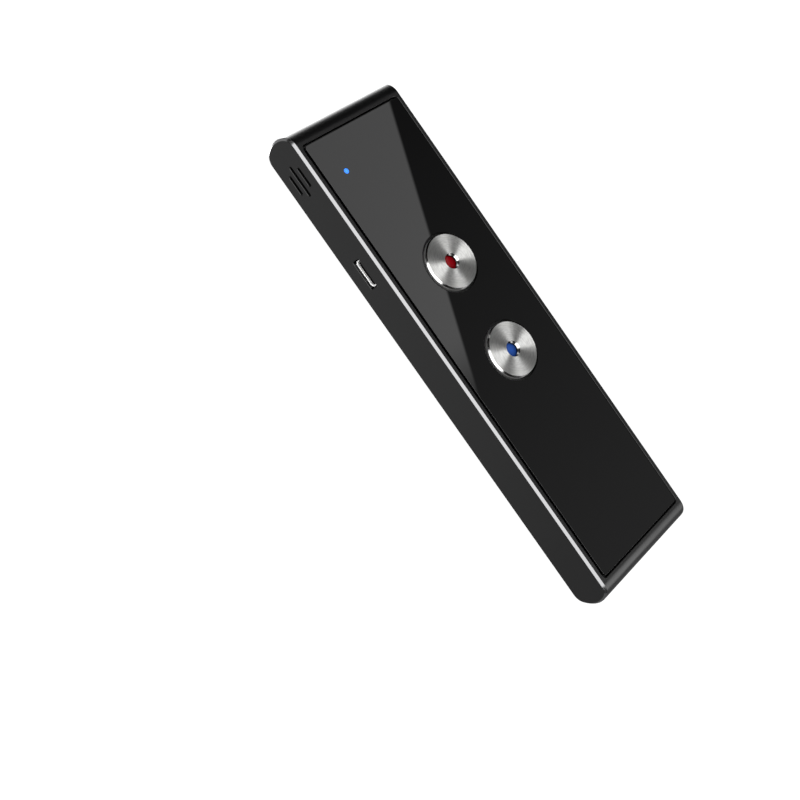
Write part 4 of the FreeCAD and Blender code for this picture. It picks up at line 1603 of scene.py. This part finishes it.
@dataclass
class Studio:
    """The pale floor, the soft surrounding light and the camera."""

    camera_place: tuple[float, float, float] = (-188.62 * MM, 18.18 * MM, 230.30 * MM)
    camera_forward: tuple[float, float, float] = (0.5709, -0.0621, -0.8186)
    camera_up: tuple[float, float, float] = (0.5022, 0.8152, 0.2884)
    focal_pixels: float = 1135.5
    image_pixels: float = 800.0
    sensor: float = 36.0
    near_clip: float = 0.01
    floor_half: float = 4.0
    floor_glow: float = 0.90
    floor_colour: float = 0.22
    wedge_normal: tuple[float, float, float] = (0.7274, -0.3090, -0.6128)
    wedge_level: float = 1.12
    wedge_edge: Span = (-0.0015, 0.0015)
    wedge_x: Span = (0.55, 0.58)
    wedge_start: Span = (-0.12, -0.04)
    wedge_fade: Span = (-0.1, 0.17)
    wedge_faded: float = 0.86
    wedge_end: Span = (0.2, 0.24)
    fill: float = 0.018
    halo_level: float = 0.36
    halo_start: float = 0.4
    lamp_direction: tuple[float, float, float] = (0.42, -0.65, 0.63)
    lamp_level: float = 2.6
    lamp_x: Band = (0.24, 0.66, 0.14)
    lamp_y: Band = (-0.9, -0.39, 0.12)
    lamp_z: Span = (0.15, 0.3)
    left_level: float = 4.0
    left_x: Span = (-0.85, -0.7)
    left_z: Band = (-0.08, 0.32, 0.1)
    overhead_level: float = 2.1
    overhead_flare: float = 0.3
    overhead_width: Span = (0.18, 0.32)
    overhead_x: Span = (0.28, 0.41)
    overhead_z: Span = (0.05, 0.3)
    ground_level: float = 0.42
    ground_share: float = 0.5
    ground_y: Span = (-0.4, 0.0)
    ground_z: Span = (-0.06, 0.0)
    rear_level: float = 4.8
    rear_slant: float = 0.5
    rear_away: Span = (0.38, 0.55)
    rear_x: Span = (0.2, 0.4)
    rear_z: Span = (-0.7, 0.1)
    sky_z: Span = (0.0, 0.12)

    def build_floor(self) -> None:
        """Lay the floor, which shows near white to the camera and keeps a soft shadow."""
        half = self.floor_half
        bm = bmesh.new()
        corners = [(-half, -half), (half, -half), (half, half), (-half, half)]
        bm.faces.new([bm.verts.new((x, y, 0.0)) for x, y in corners])
        mesh = bpy.data.meshes.new("floor")
        bm.to_mesh(mesh)
        bm.free()
        floor = bpy.data.objects.new("floor", mesh)
        bpy.context.scene.collection.objects.link(floor)
        material = bpy.data.materials.new("pale_floor")
        material.use_nodes = True
        graph = Graph(material.node_tree)
        matt = graph.add("BsdfDiffuse")
        graph.feed(matt, Color=(self.floor_colour,) * 3 + (1.0,))
        glow = graph.add("Emission")
        graph.feed(glow, Color=WHITE, Strength=self.floor_glow)
        both = graph.fill(graph.add("AddShader"), matt.outputs[0], glow.outputs[0])
        clear = graph.add("BsdfTransparent")
        behind = graph.add("NewGeometry").outputs["Backfacing"]
        mix = graph.fill(graph.add("MixShader"), behind, both.outputs[0], clear.outputs[0])
        output = graph.add("OutputMaterial")
        graph.feed(output, Surface=mix.outputs[0])
        mesh.materials.append(material)
        floor.visible_diffuse = False
        floor.visible_glossy = False
        floor.visible_shadow = False

    def halo(self, graph: Graph, spot: Socket) -> Socket:
        """The soft spill of light round the side lamp.

        Args:
            graph: the world's graph.
            spot: the direction.

        Returns:
            The socket of its brightness.
        """
        axis = Vector(self.lamp_direction).normalized()
        reach = graph.math("SUBTRACT", graph.dot(spot, axis), self.halo_start)
        share = graph.math("MAXIMUM", graph.math("DIVIDE", reach, 1 - self.halo_start), 0.0)
        return graph.product(share, share, self.halo_level)

    def lamp(self, graph: Graph, axes: Axes) -> Socket:
        """The long side lamp beyond the bottom end.

        Args:
            graph: the world's graph.
            axes: the direction's x, y and z.

        Returns:
            The socket of its brightness.
        """
        x, y, z = axes
        sideways = graph.band(x, *self.lamp_x)
        endways = graph.band(y, *self.lamp_y)
        return graph.product(sideways, endways, graph.ramp(z, *self.lamp_z), self.lamp_level)

    def rear(self, graph: Graph, axes: Axes) -> Socket:
        """The low light behind the top end, which turns its far edge white.

        Args:
            graph: the world's graph.
            axes: the direction's x, y and z.

        Returns:
            The socket of its brightness.
        """
        x, y, z = axes
        away = graph.math("SUBTRACT", y, graph.math("MULTIPLY", z, self.rear_slant))
        low = graph.fall(z, *self.rear_z)
        beyond = graph.ramp(away, *self.rear_away)
        return graph.product(low, beyond, graph.ramp(x, *self.rear_x), self.rear_level)

    def overhead(self, graph: Graph, axes: Axes) -> Socket:
        """The strip that runs overhead and down on the left.

        Args:
            graph: the world's graph.
            axes: the direction's x, y and z.

        Returns:
            The socket of its brightness.
        """
        x, y, z = axes
        flare = graph.math("MULTIPLY", graph.math("MINIMUM", x, 0.0), self.overhead_flare)
        sideways = graph.math("ADD", graph.math("ABSOLUTE", y), flare)
        wide = graph.fall(sideways, *self.overhead_width)
        left = graph.fall(x, *self.overhead_x)
        return graph.product(wide, left, graph.ramp(z, *self.overhead_z), self.overhead_level)

    def wedge(self, graph: Graph, spot: Socket, axes: Axes) -> Socket:
        """The sharp-edged card that the panel mirrors.

        Args:
            graph: the world's graph.
            spot: the direction.
            axes: the direction's x, y and z.

        Returns:
            The socket of its brightness.
        """
        x, y, _ = axes
        edge = graph.fall(graph.dot(spot, Vector(self.wedge_normal)), *self.wedge_edge)
        fade = graph.ramp(y, *self.wedge_fade, 1.0, self.wedge_faded)
        length = graph.product(graph.ramp(y, *self.wedge_start), fade, graph.fall(y, *self.wedge_end))
        return graph.product(edge, graph.ramp(x, *self.wedge_x), length, self.wedge_level)

    def ground(self, graph: Graph, axes: Axes) -> Socket:
        """The light that the ground sends up.

        Args:
            graph: the world's graph.
            axes: the direction's x, y and z.

        Returns:
            The socket of its brightness.
        """
        _, y, z = axes
        share = graph.ramp(y, *self.ground_y, self.ground_share, 1.0)
        return graph.product(graph.fall(z, *self.ground_z), share, self.ground_level)

    def left(self, graph: Graph, axes: Axes) -> Socket:
        """The low light on the left, which shows on the side wall.

        Args:
            graph: the world's graph.
            axes: the direction's x, y and z.

        Returns:
            The socket of its brightness.
        """
        x, _, z = axes
        return graph.product(graph.fall(x, *self.left_x), graph.band(z, *self.left_z), self.left_level)

    def build_world(self) -> None:
        """Write the surrounding light, which the camera itself sees as white."""
        world = bpy.data.worlds.new("studio")
        world.use_nodes = True
        bpy.context.scene.world = world
        graph = Graph(world.node_tree)
        spot = graph.add("TexCoord").outputs["Generated"]
        axes = graph.axes(spot)
        above = graph.ramp(axes[2], *self.sky_z)
        areas = [
            self.halo(graph, spot),
            self.lamp(graph, axes),
            self.overhead(graph, axes),
            self.wedge(graph, spot, axes),
            self.ground(graph, axes),
            self.rear(graph, axes),
            self.left(graph, axes),
        ]
        total = graph.math("MULTIPLY", above, self.fill)
        for area in areas:
            total = graph.math("ADD", total, area)
        light = graph.feed(graph.add("Background"), Color=WHITE, Strength=total)
        white = graph.feed(graph.add("Background"), Color=WHITE, Strength=1.0)
        seen = graph.add("LightPath").outputs["Is Camera Ray"]
        mix = graph.fill(graph.add("MixShader"), seen, light.outputs[0], white.outputs[0])
        graph.feed(graph.add("OutputWorld"), Surface=mix.outputs[0])

    def build_camera(self) -> None:
        """Set the camera where the photograph was taken from."""
        data = bpy.data.cameras.new("camera")
        data.sensor_width = self.sensor
        data.lens = self.focal_pixels / self.image_pixels * self.sensor
        data.clip_start = self.near_clip
        camera = bpy.data.objects.new("camera", data)
        bpy.context.scene.collection.objects.link(camera)
        back = -Vector(self.camera_forward).normalized()
        right = Vector(self.camera_up).cross(back).normalized()
        up = back.cross(right)
        rotation = Matrix((right, up, back)).transposed().to_4x4()
        camera.matrix_world = Matrix.Translation(Vector(self.camera_place)) @ rotation
        bpy.context.scene.camera = camera

    def build(self) -> None:
        """Build the floor, the light and the camera."""
        self.build_floor()
        self.build_world()
        self.build_camera()
        bpy.context.scene.view_settings.view_transform = "Standard"


def main() -> None:
    """Build the device and its studio."""
    logging.basicConfig(level=logging.INFO, format="%(name)s %(message)s")
    HousingShell().build()
    red = PressButton("red_button", RED_TINT)
    blue = PressButton("blue_button", BLUE_TINT)
    FrontPanel().build([red.centre(), blue.centre()], axis_of(LIGHT_NODE))
    red.build()
    blue.build()
    StatusLight().build()
    SideKey("power_key", "power_key_body", POWER_KEY_LENGTH).build()
    SideKey(
        "volume_rocker",
        "volume_rocker_body",
        VOLUME_KEY_LENGTH,
        flange_x=17.225 * MM,
        pad_x=15.925 * MM,
        pad_offsets=(-VOLUME_PAD_REACH, VOLUME_PAD_REACH),
        lug_x=15.445 * MM,
    ).build()
    ChargingSocket().build()
    Internals().build()
    Studio().build()


if __name__ == "__main__":
    main()
